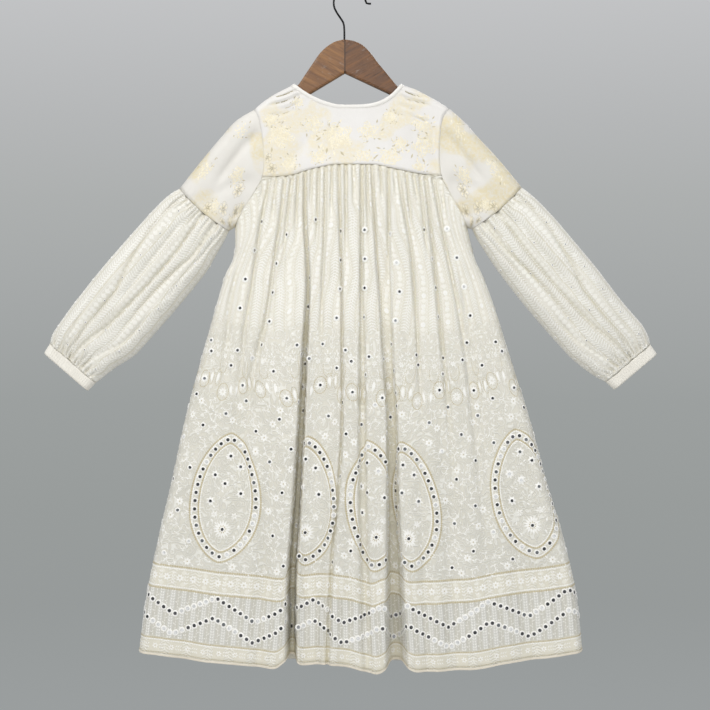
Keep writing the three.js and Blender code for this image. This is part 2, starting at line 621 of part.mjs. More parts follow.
// Skirt panel of one side, from armpits and yoke seam to the hem.
function skirt(name, face, material, { columns, rows, hem, folds, dense }) {
  const armSteps = ARMPIT_STEPS.length;
  const top = [];
  const kinds = [];
  for (let k = armSteps - 1; k >= 0; k -= 1) {
    const f = lerp(CORNER_AT.left, 1, ARMPIT_STEPS[k]);
    top.push(ARM_CURVE.left.getPointAt(Math.min(1, f)));
    kinds.push({ side: 'left', f });
  }
  const a = ARMHOLE[YOKE_CORNER];
  // Columns stand closer where a deep fold runs.
  const weight = (u) => 1 + dense.reduce((sum, d) => sum + 1.6 * Math.exp(-(((u - d) / 0.035) ** 2)), 0);
  const run = [0];
  for (let k = 0; k < 400; k += 1) run.push(run[k] + weight((k + 0.5) / 400));
  const place = (f) => {
    const goal = f * run[400];
    let k = 0;
    while (k < 399 && run[k + 1] < goal) k += 1;
    return (k + (goal - run[k]) / (run[k + 1] - run[k])) / 400;
  };
  for (let k = 0; k <= columns; k += 1) {
    const x = lerp(a.left, a.right, place(k / columns));
    top.push(new THREE.Vector2(x, seamZ(face, x)));
    kinds.push({ seam: true });
  }
  for (let k = 0; k < armSteps; k += 1) {
    const f = lerp(CORNER_AT.right, 1, ARMPIT_STEPS[k]);
    top.push(ARM_CURVE.right.getPointAt(Math.min(1, f)));
    kinds.push({ side: 'right', f });
  }
  const along = [0];
  for (let j = 1; j < top.length; j += 1) along.push(along[j - 1] + top[j].distanceTo(top[j - 1]));
  const total = along[along.length - 1];
  const hemLeft = hem[0];
  const hemRight = hem[hem.length - 1];
  const bottom = along.map((s) => {
    const x = lerp(hemLeft.x, hemRight.x, s / total);
    return new THREE.Vector2(x, read(hem, 'x', 'z', x));
  });
  const edge = (side) => {
    const list = [];
    const end = side === 'left' ? hemLeft.z : hemRight.z;
    for (let i = 0; i <= rows; i += 1) {
      const v = (i / rows) ** 1.15;
      const z = lerp(ARMHOLE[6].leftZ, end, v);
      list.push(new THREE.Vector2(sideX(side, z), z));
    }
    return list;
  };
  const places = patch(top, bottom, edge('left'), edge('right'));
  const lastColumn = top.length - 1;
  const grid = places.map((row, i) => row.map((p, j) => {
    if (j === 0 || j === lastColumn) return V(p.x, FACE[face] * (GAP / 2), p.y);
    const point = onBody(face, p.x, p.y, folds);
    if (i === 0) {
      const kind = kinds[j];
      if (kind.seam) {
        const smooth = onBody(face, p.x, p.y, null);
        point.y = lerp(smooth.y, point.y, 0.35);
        point.z -= CURVED_GAP / 2;
      } else {
        const q = armholePoint(kind.side, face, kind.f);
        q.x += kind.side === 'left' ? GAP / 2 : -GAP / 2;
        return q;
      }
    }
    return point;
  }));
  return wall(name, grid, material, {
    outward: () => V(0, FACE[face], 0),
    pinned: (i, j, p) => {
      if (j === 0 || j === lastColumn) {
        const side = j === 0 ? 'left' : 'right';
        const dz = 4;
        const t = V(sideX(side, p.z + dz) - sideX(side, p.z - dz), 0, 2 * dz).normalize();
        return side === 'left' ? V(-t.z, 0, t.x) : V(t.z, 0, -t.x);
      }
      if (i === 0) {
        const kind = kinds[j];
        if (kind.seam) return V(0, FACE[face], 0);
        return armholeNormal(kind.side, face, kind.f);
      }
      return bodyNormal(face, p.x, p.z, folds);
    },
  });
}

// Binding round the neck, open where the front slit parts it.
function neckBinding(name, material) {
  const slitT = (1.2 + 0) / NECK_HALF;
  const centreT = (0 - NECK_CENTRE) / NECK_HALF;
  const frontRight = [centreT + slitT, ...NECK_STEPS.filter((t) => t > centreT + slitT + 0.05 && t < 1)];
  const frontLeft = [...NECK_STEPS.filter((t) => t > -1 && t < centreT - slitT - 0.03), centreT - slitT];
  const path = [
    ...frontRight.map((t) => ({ face: 'front', t })),
    ...[...NECK_STEPS].reverse().map((t) => ({ face: 'back', t })),
    ...frontLeft.map((t) => ({ face: 'front', t })),
  ];
  const grid = [0, BINDING_WIDTH].map((out) => path.map(({ face, t }) => {
    const p = neckPoint(face, t, out);
    if (Math.abs(t) >= 1) p.y = 0;
    return p;
  }));
  const columns = path.length;
  return wall(name, grid, material, {
    thickness: WALL + BINDING_PROUD,
    proud: BINDING_PROUD,
    outward: (p, i, j) => {
      const { face, t } = path[j];
      return Math.abs(t) >= 1 ? V(0, 0, 1) : V(0, FACE[face], Math.abs(t) > 0.9 ? 0.6 : 0);
    },
    pinned: (i, j) => neckNormal(path[j].face, path[j].t, i ? BINDING_WIDTH + NECK_GAP / 2 : 0),
  });
}

// -------------------------------------------------------------- the sleeves
function ringPlaces(side) {
  const f = armholeFractions(side);
  return [
    ...f.map((fraction) => ({ face: 'back', fraction })),
    ...[...f].reverse().slice(1, -1).map((fraction) => ({ face: 'front', fraction })),
  ];
}

function upperSleeve(name, side, rows, material) {
  const places = ringPlaces(side);
  const top = ARMHOLE[0];
  const pit = ARMHOLE[6];
  const chord = new THREE.Vector2(pit[side] - top[side], pit[`${side}Z`] - top[`${side}Z`]);
  const length = chord.length();
  const dir = chord.clone().divideScalar(length);
  const out = side === 'left' ? -1 : 1;
  const ring = (row, k) => places.map(({ face, fraction }) => {
    const seam = armholePoint(side, face, fraction);
    if (k === 0) {
      seam.x += out * CURVED_GAP * Math.abs(dir.y);
      seam.z += CURVED_GAP * Math.abs(dir.x);
      return seam;
    }
    const rel = new THREE.Vector2(seam.x - top[side], seam.z - top[`${side}Z`]);
    const c = clamp01(rel.dot(dir) / length);
    const bow = rel.x * -dir.y + rel.y * dir.x;
    const T = new THREE.Vector2(row.topX, row.topZ);
    const B = new THREE.Vector2(row.botX, row.botZ);
    const own = B.clone().sub(T);
    const ownLength = own.length();
    own.divideScalar(ownLength);
    const across = new THREE.Vector2(-own.y, own.x);
    const spread = lerp(c, (1 - Math.cos(c * Math.PI)) / 2, 0.35);
    const p = T.clone().addScaledVector(own, spread * ownLength)
      .addScaledVector(across, bow * row.bow + out * row.belly * Math.sin(spread * Math.PI));
    const fromTop = spread * ownLength;
    const fromPit = (1 - spread) * ownLength;
    const deep = row.depth * roundOff(fromTop, row.depth) * roundOff(fromPit, row.depth);
    return V(p.x, FACE[face] * deep, p.y);
  });
  const grid = rows.map(ring);
  const lastAcross = new THREE.Vector2(rows[4].botX - rows[4].topX, rows[4].botZ - rows[4].topZ).normalize();
  const step = new THREE.Vector2(lastAcross.y, -lastAcross.x).multiplyScalar(side === 'left' ? 1 : -1);
  grid[grid.length - 1].forEach((p) => {
    p.x -= step.x * GAP;
    p.z -= step.y * GAP;
  });
  return wall(name, grid, material, {
    wrap: true,
    outward: (p, i, j) => tubeOut(grid, i, p),
    pinned: (i, j) => {
      if (i === 0) return armholeNormal(side, places[j].face, places[j].fraction);
      if (i === grid.length - 1) return sectionNormal(grid[i], j, step);
      return null;
    },
  });
}

function tubeOut(grid, i, p) {
  const centre = grid[i].reduce((sum, q) => sum.add(q), V(0, 0, 0)).divideScalar(grid[i].length);
  return p.clone().sub(centre);
}

// Normal of a ring in the plane square to the sleeve's line.
function sectionNormal(ring, j, along) {
  const n = ring.length;
  const tangent = ring[(j + 1) % n].clone().sub(ring[(j + n - 1) % n]);
  const axis = V(along.x, 0, along.y);
  const normal = tangent.cross(axis).normalize();
  const centre = ring.reduce((sum, q) => sum.add(q), V(0, 0, 0)).divideScalar(n);
  if (normal.dot(ring[j].clone().sub(centre)) < 0) normal.negate();
  return normal;
}

function sleeveRing(side, sleeve, row, folded, endNear) {
  const places = ringPlaces(side);
  const top = ARMHOLE[0];
  const pit = ARMHOLE[6];
  const chord = new THREE.Vector2(pit[side] - top[side], pit[`${side}Z`] - top[`${side}Z`]);
  const length = chord.length();
  const dir = chord.clone().divideScalar(length);
  // The section's line stands square to the sleeve; its upper end is the
  // sleeve's upper edge.
  const up = side === 'left'
    ? new THREE.Vector2(sleeve.alongZ, -sleeve.alongX)
    : new THREE.Vector2(-sleeve.alongZ, sleeve.alongX);
  return places.map(({ face, fraction }) => {
    const seam = armholePoint(side, face, fraction);
    const rel = new THREE.Vector2(seam.x - top[side], seam.z - top[`${side}Z`]);
    const c = clamp01(rel.dot(dir) / length);
    const spread = lerp(c, (1 - Math.cos(c * Math.PI)) / 2, 0.35);
    const h = lerp(row.top, row.bottom, spread);
    const span = row.top - row.bottom;
    const deep = row.depth * roundOff(spread * span, row.depth) * roundOff((1 - spread) * span, row.depth);
    let trough = 0;
    if (folded) {
      for (const fold of SLEEVE_FOLDS) {
        const run = clamp01((row.s - fold.from) / 40) * clamp01((fold.to - row.s) / 40);
        const at = face === 'back' ? fold.across : 1 - fold.across + 0.08;
        trough += fold.depth * run * Math.exp(-(((spread - at) / fold.width) ** 2));
      }
      trough *= clamp01(Math.min(spread, 1 - spread) * span / 20);
    }
    const belly = 5 * Math.sin(spread * Math.PI) * endNear;
    const s = row.s + belly;
    return V(sleeve.originX + sleeve.alongX * s + up.x * h, FACE[face] * (deep - trough),
      sleeve.originZ + sleeve.alongZ * s + up.y * h);
  });
}

function lowerSleeve(name, side, sleeve, material) {
  const grid = sleeve.rows.map((row, k) => sleeveRing(side, sleeve, row, true, k === 0 ? 1 : k === 1 ? 0.5 : 0));
  const along = new THREE.Vector2(sleeve.alongX, sleeve.alongZ);
  return wall(name, grid, material, {
    wrap: true,
    outward: (p, i) => tubeOut(grid, i, p),
    pinned: (i, j) => (i === 0 || i === grid.length - 1 ? sectionNormal(grid[i], j, along) : null),
  });
}

function cuff(name, side, sleeve, material) {
  const grid = sleeve.cuff.map((row) => sleeveRing(side, sleeve, row, false, 0));
  const along = new THREE.Vector2(sleeve.alongX, sleeve.alongZ);
  return wall(name, grid, material, {
    wrap: true,
    outward: (p, i) => tubeOut(grid, i, p),
    pinned: (i, j) => sectionNormal(grid[i], j, along),
  });
}

// --------------------------------------------------------------- the hanger
function hangerArm(name, arm, material) {
  const shape = new THREE.Shape();
  const inset = HANGER_BEVEL;
  const spline = new THREE.SplineCurve(arm.top.map((p) => new THREE.Vector2(p.x, p.z)));
  const outline = [new THREE.Vector2(arm.start.x, arm.start.z), ...spline.getPoints(24)];
  outline.push(new THREE.Vector2(arm.end.x, arm.end.z));
  arm.lower.forEach((p) => outline.push(new THREE.Vector2(p.x, p.z)));
  outline.forEach((p, k) => (k ? shape.lineTo(p.x, p.y) : shape.moveTo(p.x, p.y)));
  shape.closePath();
  const geometry = new THREE.ExtrudeGeometry(shape, {
    depth: HANGER_THICK - 2 * inset, bevelEnabled: true, bevelThickness: inset,
    bevelSize: inset, bevelOffset: -inset, bevelSegments: 3, steps: 1,
  });
  // The extrusion runs along +Z of the shape; stand it upright.
  geometry.translate(0, 0, -(HANGER_THICK - 2 * inset) / 2);
  geometry.rotateX(Math.PI / 2);
  let solid = toManifold(geometry);
  // Square the bevelled centre end at the mitre, then bore for the stem.
  const sign = arm === HANGER_LEFT ? -1 : 1;
  const keep = new THREE.BoxGeometry(400, 60, 400);
  keep.translate(MITRE_X + sign * (200 + GAP / 2), 0, -150);
  solid = solid.intersect(toManifold(keep));
  const bore = new THREE.CylinderGeometry(WIRE_R + GAP, WIRE_R + GAP, STEM_DEEP + 12, 20);
  bore.rotateX(Math.PI / 2);
  bore.translate(STEM_X, 0, arm.top[0].z - (STEM_DEEP + 12) / 2 + 11);
  solid = solid.subtract(toManifold(bore));
  const mesh = new THREE.Mesh(fromManifold(solid), material);
  mesh.name = name;
  return mesh;
}

function hook(name, material) {
  const centreZ = WIRE_R - LOOP_R;
  const points = [
    V(STEM_X, 0, HANGER_LEFT.top[0].z - STEM_DEEP + 1),
    V(STEM_X, 0, -84), V(STEM_X - 0.2, 0, -66), V(-10.6, 0, -56), V(-15.4, 0, -48),
    V(-21.0, 0, -39.6),
  ];
  for (let a = 197; a >= 8; a -= 13.5) {
    const r = (a * Math.PI) / 180;
    points.push(V(LOOP_X + LOOP_R * Math.cos(r), 0, centreZ + LOOP_R * Math.sin(r)));
  }
  points.push(V(LOOP_X + LOOP_R + 1.6, 0, centreZ - 0.6), V(LOOP_X + LOOP_R + 8.6, 0, centreZ - 1.2));
  const path = new THREE.CatmullRomCurve3(points);
  const section = new THREE.Shape();
  const sides = 10;
  for (let k = 0; k <= sides; k += 1) {
    const a = (k * 2 * Math.PI) / sides;
    const x = WIRE_R * Math.cos(a);
    const y = WIRE_R * Math.sin(a);
    if (k === 0) section.moveTo(x, y);
    else section.lineTo(x, y);
  }
  const geometry = new THREE.ExtrudeGeometry(section, { steps: 46, extrudePath: path, bevelEnabled: false });
  const mesh = new THREE.Mesh(geometry, material);
  mesh.name = name;
  return mesh;
}

// ------------------------------------------------------------- the assembly
const cloth = (color, roughness) => new THREE.MeshStandardMaterial({ color, roughness, metalness: 0, side: THREE.DoubleSide });
const group = new THREE.Group();
const garment = new THREE.Group();
garment.position.set(CLOTH_X, 0, CLOTH_Z);
group.add(garment);

garment.add(yoke('yoke_back', 'back', cloth(0xf2eee8, 0.55)));

const frontYoke = yoke('yoke_front', 'front', cloth(0xf1ede6, 0.55));
const slitTop = -NECK.front.depth + 10;
const slit = new THREE.BoxGeometry(SLIT_WIDTH, 60, SLIT_LENGTH + 15);
slit.translate(0, 30, slitTop + 5 - (SLIT_LENGTH + 15) / 2);
frontYoke.geometry = fromManifold(toManifold(frontYoke.geometry).subtract(toManifold(slit)));
garment.add(frontYoke);

garment.add(skirt('skirt_back', 'back', cloth(0xdedacc, 0.7), {
  columns: SKIRT_COLUMNS_BACK, rows: SKIRT_ROWS_BACK, hem: HEM_BACK, folds: FOLDS_BACK,
  dense: [0.25, 0.62, 0.7],
}));
garment.add(skirt('skirt_front', 'front', cloth(0xdcd8ca, 0.7), {
  columns: SKIRT_COLUMNS_FRONT, rows: SKIRT_ROWS_FRONT, hem: HEM_FRONT, folds: FOLDS_FRONT,
  dense: [],
}));
garment.add(neckBinding('neck_binding', cloth(0xf6f3ee, 0.6)));
garment.add(upperSleeve('sleeve_upper_left', 'left', UPPER_LEFT, cloth(0xf0ece4, 0.55)));
garment.add(upperSleeve('sleeve_upper_right', 'right', UPPER_RIGHT, cloth(0xf0ece4, 0.55)));
garment.add(lowerSleeve('sleeve_lower_left', 'left', LOWER_LEFT, cloth(0xdcdad2, 0.7)));
garment.add(lowerSleeve('sleeve_lower_right', 'right', LOWER_RIGHT, cloth(0xdcdad2, 0.7)));
garment.add(cuff('cuff_left', 'left', LOWER_LEFT, cloth(0xe4e1d8, 0.65)));
garment.add(cuff('cuff_right', 'right', LOWER_RIGHT, cloth(0xe4e1d8, 0.65)));

const wood = (color) => new THREE.MeshStandardMaterial({ color, roughness: 0.45, metalness: 0 });
group.add(hangerArm('hanger_arm_left', HANGER_LEFT, wood(0x906c4f)));
group.add(hangerArm('hanger_arm_right', HANGER_RIGHT, wood(0x745342)));
group.add(hook('hanger_hook', new THREE.MeshStandardMaterial({ color: 0x17171a, roughness: 0.35, metalness: 0.9 })));

export default group;
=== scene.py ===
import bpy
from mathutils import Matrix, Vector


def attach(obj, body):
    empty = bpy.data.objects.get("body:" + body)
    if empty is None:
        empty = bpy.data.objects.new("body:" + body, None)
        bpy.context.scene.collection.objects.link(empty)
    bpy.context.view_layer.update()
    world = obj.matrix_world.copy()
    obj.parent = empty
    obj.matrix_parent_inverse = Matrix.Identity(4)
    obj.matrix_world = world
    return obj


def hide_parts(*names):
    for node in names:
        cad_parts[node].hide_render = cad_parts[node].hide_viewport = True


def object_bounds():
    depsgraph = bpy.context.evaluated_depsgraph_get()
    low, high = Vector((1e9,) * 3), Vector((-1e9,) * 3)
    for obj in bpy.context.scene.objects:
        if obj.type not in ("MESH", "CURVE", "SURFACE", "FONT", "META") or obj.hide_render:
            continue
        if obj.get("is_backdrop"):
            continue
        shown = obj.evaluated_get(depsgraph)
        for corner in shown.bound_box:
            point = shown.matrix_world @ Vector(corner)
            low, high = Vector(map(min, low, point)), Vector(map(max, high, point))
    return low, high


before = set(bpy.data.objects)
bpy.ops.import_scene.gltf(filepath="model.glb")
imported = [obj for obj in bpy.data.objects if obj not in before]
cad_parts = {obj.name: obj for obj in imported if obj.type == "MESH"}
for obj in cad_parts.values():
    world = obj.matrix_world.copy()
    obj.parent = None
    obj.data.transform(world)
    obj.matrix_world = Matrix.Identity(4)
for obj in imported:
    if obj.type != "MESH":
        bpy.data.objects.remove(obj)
cad_low, cad_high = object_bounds()
cad_low, cad_high = list(cad_low), list(cad_high)

# A gathered kurti on its wooden clothes hanger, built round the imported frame.
# Lengths are millimetres in the garment's own frame until mesh_from(), which writes metres in the row frame.
import math

import bpy
import numpy as np

CLOTH_X, CLOTH_Z = 1.6, -154.6
FACE = {"back": -1.0, "front": 1.0}

# ---------------------------------------------------------------- tables, as in the CAD source
NECK_CENTRE, NECK_HALF, BINDING = -5.7, 85.2, 5.5
NECK = {"back": (34.0, 2.05, 3.4), "front": (62.0, 2.3, 2.6)}
SHOULDER_L = [(-60, 16), (-91, 0), (-102.4, -5.4), (-126.4, -18.2), (-145.6, -31.8), (-155.2, -40.6)]
SHOULDER_R = [(50, 13.5), (79.5, 0), (100.8, -7), (123.2, -18.2), (145.6, -31), (157.8, -39.4)]
ARM = {
    "left": [(-155.2, -40.6), (-146, -60), (-139.8, -106), (-141.6, -149.4), (-158, -178), (-173, -202), (-185.6, -227.8)],
    "right": [(157.8, -39.4), (146, -58), (141.6, -104), (144.2, -147), (157.5, -174), (172, -199), (185.6, -227.8)],
}
PIT_Z = -227.8
YOKE_SEAM = [(-141.6, -149.4), (-104, -147.6), (-61, -136.2), (-20, -129.2), (30, -129.2), (72, -136.4), (115, -144.6), (144.2, -147)]
SIDE = [(-227.8, -185.6, 185.6), (-257, -184.8, 192), (-284, -190.4, 200), (-300, -199, 208), (-345, -212.8, 225.6),
        (-441, -240, 256), (-537, -265.6, 286.4), (-633, -286.4, 312), (-729, -308.8, 340.8), (-825, -328, 361.6), (-904, -338.4, 369.6)]
DEPTH = [(30, 10.4, 10.4), (-40, 10.8, 10.8), (-90, 14, 12.5), (-150, 20, 14), (-228, 25, 15), (-400, 33, 18), (-650, 41, 23), (-930, 47, 28)]
HEM = {
    "back": [(-338.4, -904), (-290, -910), (-232, -917.5), (-176, -921.5), (-122, -926.5), (-96, -912.5), (-76, -923), (-40, -920), (0, -924.5),
             (40, -934), (73, -919), (105, -931.5), (190, -929), (250, -919.5), (320, -911), (369.6, -903)],
    "front": [(-338.4, -904), (-230, -916), (-60, -927), (80, -928), (250, -917), (369.6, -903)],
}
UPPER = {
    "left": [(-155.2, -40.6, -185.6, -227.8, 0, 1, 0), (-182.4, -57, -187.6, -229.6, 16, .6, 0), (-209, -86, -190.4, -231.6, 18, .3, 1),
             (-239, -122, -193, -232.8, 20, .1, 2.5), (-274, -166.4, -195.3, -234.3, 21, 0, 5)],
    "right": [(157.8, -39.4, 185.6, -227.8, 0, 1, 0), (181, -59.6, 187.2, -229.4, 16, .6, 0), (208, -89.6, 189.6, -230.2, 18, .3, 1),
              (238, -122, 191.8, -230.8, 20, .1, 2.5), (272.6, -164.4, 193.6, -231, 21, 0, 5)],
}
LOWER = {
    "left": dict(origin=(-234.4, -200.6), along=(-.654, -.757), up=(-.757, .654),
                 rows=[(.3, 52.3, -51.6, 21), (12, 56.5, -55, 25), (36, 60.5, -60, 28), (80, 62.3, -67.5, 30), (160, 63, -69.4, 30),
                       (240, 60.5, -68.2, 27), (286, 56.8, -56.6, 23), (308, 54, -52, 18), (322, 47.8, -49.4, 14)],
                 cuff=[(322.3, 47.4, -49.2, 13), (331, 46, -48.8, 12), (340.5, 44.4, -48.2, 12)]),
    "right": dict(origin=(234.4, -196.6), along=(.644, -.765), up=(.765, .644),
                  rows=[(.3, 50, -53.4, 21), (14, 53.4, -57, 25), (43, 57, -61, 28), (84, 58.8, -65.4, 30), (160, 58.8, -68, 30),
                        (250, 55.4, -66, 27), (290, 56, -59.6, 23), (312, 52, -53, 18), (324, 46.2, -47.8, 14)],
                  cuff=[(324.3, 45.8, -47.6, 13), (333, 45, -46.6, 12), (343, 44.2, -45, 12)]),
}

# Creases of the skirt, placed one by one: power of the section, then (height z, place x, depth, half width).
CREASES_BACK = [
    (4.0, [(-138, -73, 8, 3.0), (-199, -73, 10, 3.2), (-319, -68, 13, 3.6), (-425, -73, 19, 4.3), (-530, -78, 27, 5.0), (-661, -85, 39, 5.9), (-818, -94, 52, 6.7), (-930, -94, 58, 7.2)]),
    (5.0, [(-215, 50, 0, 8), (-293, 51, 6, 8), (-385, 56, 11, 8), (-464, 60.5, 14, 7.7), (-530, 64.5, 17, 7.6), (-661, 66.5, 27, 8.6), (-818, 70, 42, 12), (-930, 72.5, 50, 14)]),
    (2.0, [(-138, 33, 8, 2.8), (-220, 38, 9, 2.6), (-293, 42, 8, 2.4), (-346, 46, 5, 2.2), (-420, 50, 3, 2.2), (-470, 53, 0, 2.2)]),
    (2.0, [(-138, 60, 8, 3.0), (-220, 60, 8, 2.8), (-293, 60, 7, 2.6), (-346, 63, 5, 2.4), (-430, 66, 2.5, 2.4), (-480, 68, 0, 2.4)]),
    (3.0, [(-132, 17, 8, 3.0), (-230, 17, 8, 3.0), (-346, 17, 8, 3.4), (-425, 18, 8, 4.6), (-530, 18, 9, 5.6), (-661, 19, 9, 6), (-818, 23, 9, 7), (-930, 27, 8, 8)]),
    (2.0, [(-132, -19, 8, 2.8), (-230, -17, 8, 2.6), (-293, -15, 7, 2.4), (-393, -14, 7, 2.3), (-530, -14, 7, 2.3), (-645, -20, 8, 2.5), (-756, -30, 9, 3), (-930, -38, 11, 3.2)]),
    (4.0, [(-250, -44, 0, 20), (-330, -44, 4, 21), (-425, -43, 6, 23), (-530, -46, 8, 25), (-661, -54, 10, 26), (-818, -64, 14, 22), (-930, -66, 17, 20)]),
    (2.0, [(-134, -40, 8, 2.8), (-271, -43, 6, 2.8), (-333, -46, 5, 2.6), (-393, -47, 3, 2.6), (-472, -49, 0, 2.6)]),
    (2.0, [(-138, 74, 8, 2.8), (-200, 84, 7, 2.8), (-253, 94, 7, 2.8), (-306, 99, 7, 2.8), (-382, 104, 6, 3), (-472, 109, 4, 3.6), (-600, 114, 0, 4.5)]),
    (2.0, [(-145, 118, 9, 3.0), (-220, 126, 9, 3.0), (-385, 142, 7, 3.4), (-504, 153, 5, 4.2), (-620, 162, 3, 6), (-740, 168, 0, 8)]),
    (2.0, [(-147, 130, 8, 3.0), (-266, 152, 7, 3.0), (-385, 175, 6, 3.8), (-504, 191, 5, 4.8), (-660, 206, 3, 7), (-780, 214, 0, 9)]),
    (2.0, [(-149, -128, 8, 3.0), (-226, -144, 7, 3.0), (-319, -157, 6, 3.4), (-385, -168, 5, 4.0), (-504, -178, 4, 6), (-640, -190, 0, 8)]),
    (2.0, [(-147, -93, 8, 2.8), (-199, -100, 7, 2.8), (-266, -106, 4, 3.0), (-350, -110, 0, 3.2)]),
    (2.2, [(-148, -104, 8, 2.8), (-230, -114, 7, 3.0), (-293, -123, 7, 3.2), (-346, -130, 7, 3.6), (-385, -137, 7, 4.4), (-472, -158, 6, 7), (-551, -168, 5, 9), (-680, -176, 3, 12), (-800, -182, 0, 14)]),
    (2.0, [(-250, -176, 0, 4), (-300, -184, 4, 4.4), (-382, -195, 4, 5.4), (-504, -204, 0, 7)]),
    (2.0, [(-300, 172, 0, 4.5), (-361, 182, 5, 5), (-450, 194, 5, 6.4), (-562, 210, 4, 8), (-693, 219, 3, 11), (-800, 226, 0, 14)]),
    (2.0, [(-560, -226, 0, 16), (-700, -240, 4, 19), (-930, -262, 7, 22)]),
    (2.0, [(-470, 138, 0, 10), (-660, 152, 4, 13), (-930, 166, 8, 16)]),
    (2.0, [(-600, 250, 0, 16), (-760, 268, 4, 19), (-930, 290, 7, 20)]),
    (2.2, [(-500, -118, 0, 9), (-700, -132, 5, 12), (-930, -146, 9, 13)]),
    (2.0, [(-640, -296, 0, 12), (-930, -312, 4, 14)]),
    (2.2, [(-620, 4, 0, 8), (-760, -4, 3, 9), (-930, -8, 6, 11)]),
    (2.0, [(-560, 108, 0, 6), (-720, 114, 4, 8), (-930, 122, 6, 10)]),
]
# Short gathers under the seam: place at the seam, drift, length, depth.
GATHERS_BACK = [(-137, -10, 60, 6), (-118, -9, 100, 7), (-84, -5, 130, 8), (-62, -3, 80, 7), (-51, -4, 150, 8), (-30, -2, 100, 7), (-8, 0, 175, 8),
                (4, 1, 80, 6), (25, 3, 130, 8), (46, 5, 70, 7), (67, 7, 60, 5), (87, 12, 120, 7), (97, 13, 70, 7), (108, 15, 160, 8), (139, 14, 80, 6)]
CREASES_FRONT = [
    (2.2, [(-150, -112, 8, 3), (-390, -144, 7, 5), (-665, -170, 8, 10), (-930, -188, 11, 15)]),
    (2.6, [(-150, -66, 9, 3), (-390, -92, 9, 4.6), (-665, -118, 12, 8), (-930, -136, 15, 13)]),
    (3.4, [(-150, -24, 9, 3), (-390, -24, 11, 4.6), (-665, -22, 16, 7), (-930, -20, 21, 10)]),
    (2.6, [(-150, 18, 9, 3), (-390, 22, 8, 4.2), (-665, 26, 10, 7), (-930, 32, 14, 11)]),
    (3.0, [(-150, 70, 9, 3), (-390, 98, 9, 4.6), (-665, 118, 12, 8), (-930, 134, 17, 12)]),
    (2.0, [(-150, 112, 8, 3), (-390, 150, 6, 5), (-665, 180, 6, 11), (-930, 206, 8, 15)]),
    (2.0, [(-150, -90, 8, 2.8), (-300, -108, 6, 3.4), (-480, -128, 3, 6), (-620, -138, 0, 8)]),
    (2.0, [(-150, -45, 8, 2.8), (-320, -58, 7, 3.2), (-520, -68, 4, 5), (-700, -74, 0, 8)]),
    (2.0, [(-150, 44, 8, 2.8), (-310, 56, 7, 3.2), (-500, 66, 4, 5), (-720, 74, 2, 8), (-930, 80, 4, 10)]),
    (2.0, [(-150, 92, 8, 2.8), (-330, 126, 6, 3.6), (-500, 146, 3, 6), (-640, 158, 0, 9)]),
    (2.0, [(-150, -4, 8, 2.8), (-300, 0, 6, 3.0), (-460, 2, 3, 4), (-560, 2, 0, 5)]),
    (2.0, [(-340, -186, 0, 5), (-480, -206, 5, 7), (-700, -236, 4, 12), (-930, -256, 7, 18)]),
    (2.0, [(-330, 176, 0, 5), (-470, 200, 5, 7), (-700, 236, 4, 12), (-930, 262, 7, 18)]),
    (2.0, [(-640, -296, 0, 12), (-930, -314, 5, 14)]),
    (2.0, [(-660, 304, 0, 12), (-930, 330, 5, 15)]),
]
GATHERS_FRONT = [(-132, -9, 70, 6), (-122, -8, 130, 7), (-101, -7, 80, 7), (-78, -6, 150, 7), (-56, -4, 90, 8), (-35, -2, 120, 7), (-14, 0, 80, 7),
                 (8, 1, 140, 7), (29, 2, 90, 8), (56, 4, 110, 7), (81, 8, 70, 7), (102, 12, 130, 7), (122, 13, 90, 7), (133, 13, 60, 6)]
# Long folds of the lower sleeves: depth, half width (share of the section), then (distance from the seam, place across).
SLEEVE_FOLDS = {
    "back": [(7.5, .050, [(-5, .20, .4), (55, .15, .7), (145, .24, 1), (198, .33, 1), (257, .33, .9), (322, .42, .5)]),
             (9.0, .050, [(-5, .56, .8), (40, .57, 1), (100, .58, 1), (150, .57, 1), (230, .53, 1), (272, .48, .8), (322, .46, .5)]),
             (8.0, .045, [(-5, .80, .9), (60, .77, 1), (110, .71, 1), (174, .68, .9), (230, .70, .3), (262, .72, 0)]),
             (5.0, .040, [(-5, .93, .7), (48, .87, 1), (100, .83, .8), (150, .86, 0)]),
             (5.0, .050, [(18, .40, 0), (70, .40, 1), (150, .42, .8), (215, .44, 0)]),
             (5.0, .055, [(170, .80, 0), (220, .82, 1), (280, .74, .8), (322, .66, .4)]),
             (4.0, .045, [(200, .15, 0), (250, .18, 1), (322, .28, .5)])],
    "front": [(7.0, .055, [(-5, .28, .6), (90, .30, 1), (200, .36, 1), (322, .44, .5)]),
              (8.0, .050, [(-5, .62, .8), (110, .60, 1), (230, .56, .9), (322, .52, .4)]),
              (6.0, .050, [(20, .80, 0), (90, .80, 1), (220, .74, .8), (300, .68, 0)]),
              (5.0, .045, [(60, .14, 0), (140, .18, 1), (260, .24, .5), (322, .3, .2)])],
}


# ---------------------------------------------------------------- small maths
def curve(keys, values, at):
    """Smooth monotone curve through a short table."""
    k, v = np.asarray(keys, float), np.asarray(values, float)
    if k[0] > k[-1]:
        k, v = k[::-1], v[::-1]
    d = np.diff(v) / np.diff(k)
    m = np.empty_like(v)
    m[0], m[-1] = d[0], d[-1]
    prod, total = d[:-1] * d[1:], d[:-1] + d[1:]
    m[1:-1] = np.where(prod <= 0, 0.0, 2 * prod / np.where(total == 0, 1, total))
    c = np.clip(np.asarray(at, float), k[0], k[-1])
    i = np.clip(np.searchsorted(k, c, side="right") - 1, 0, len(k) - 2)
    w = (k[1:] - k[:-1])[i]
    t = (c - k[i]) / w
    t2, t3 = t * t, t * t * t
    return v[i] * (2 * t3 - 3 * t2 + 1) + m[i] * w * (t3 - 2 * t2 + t) + v[i + 1] * (3 * t2 - 2 * t3) + m[i + 1] * w * (t3 - t2)


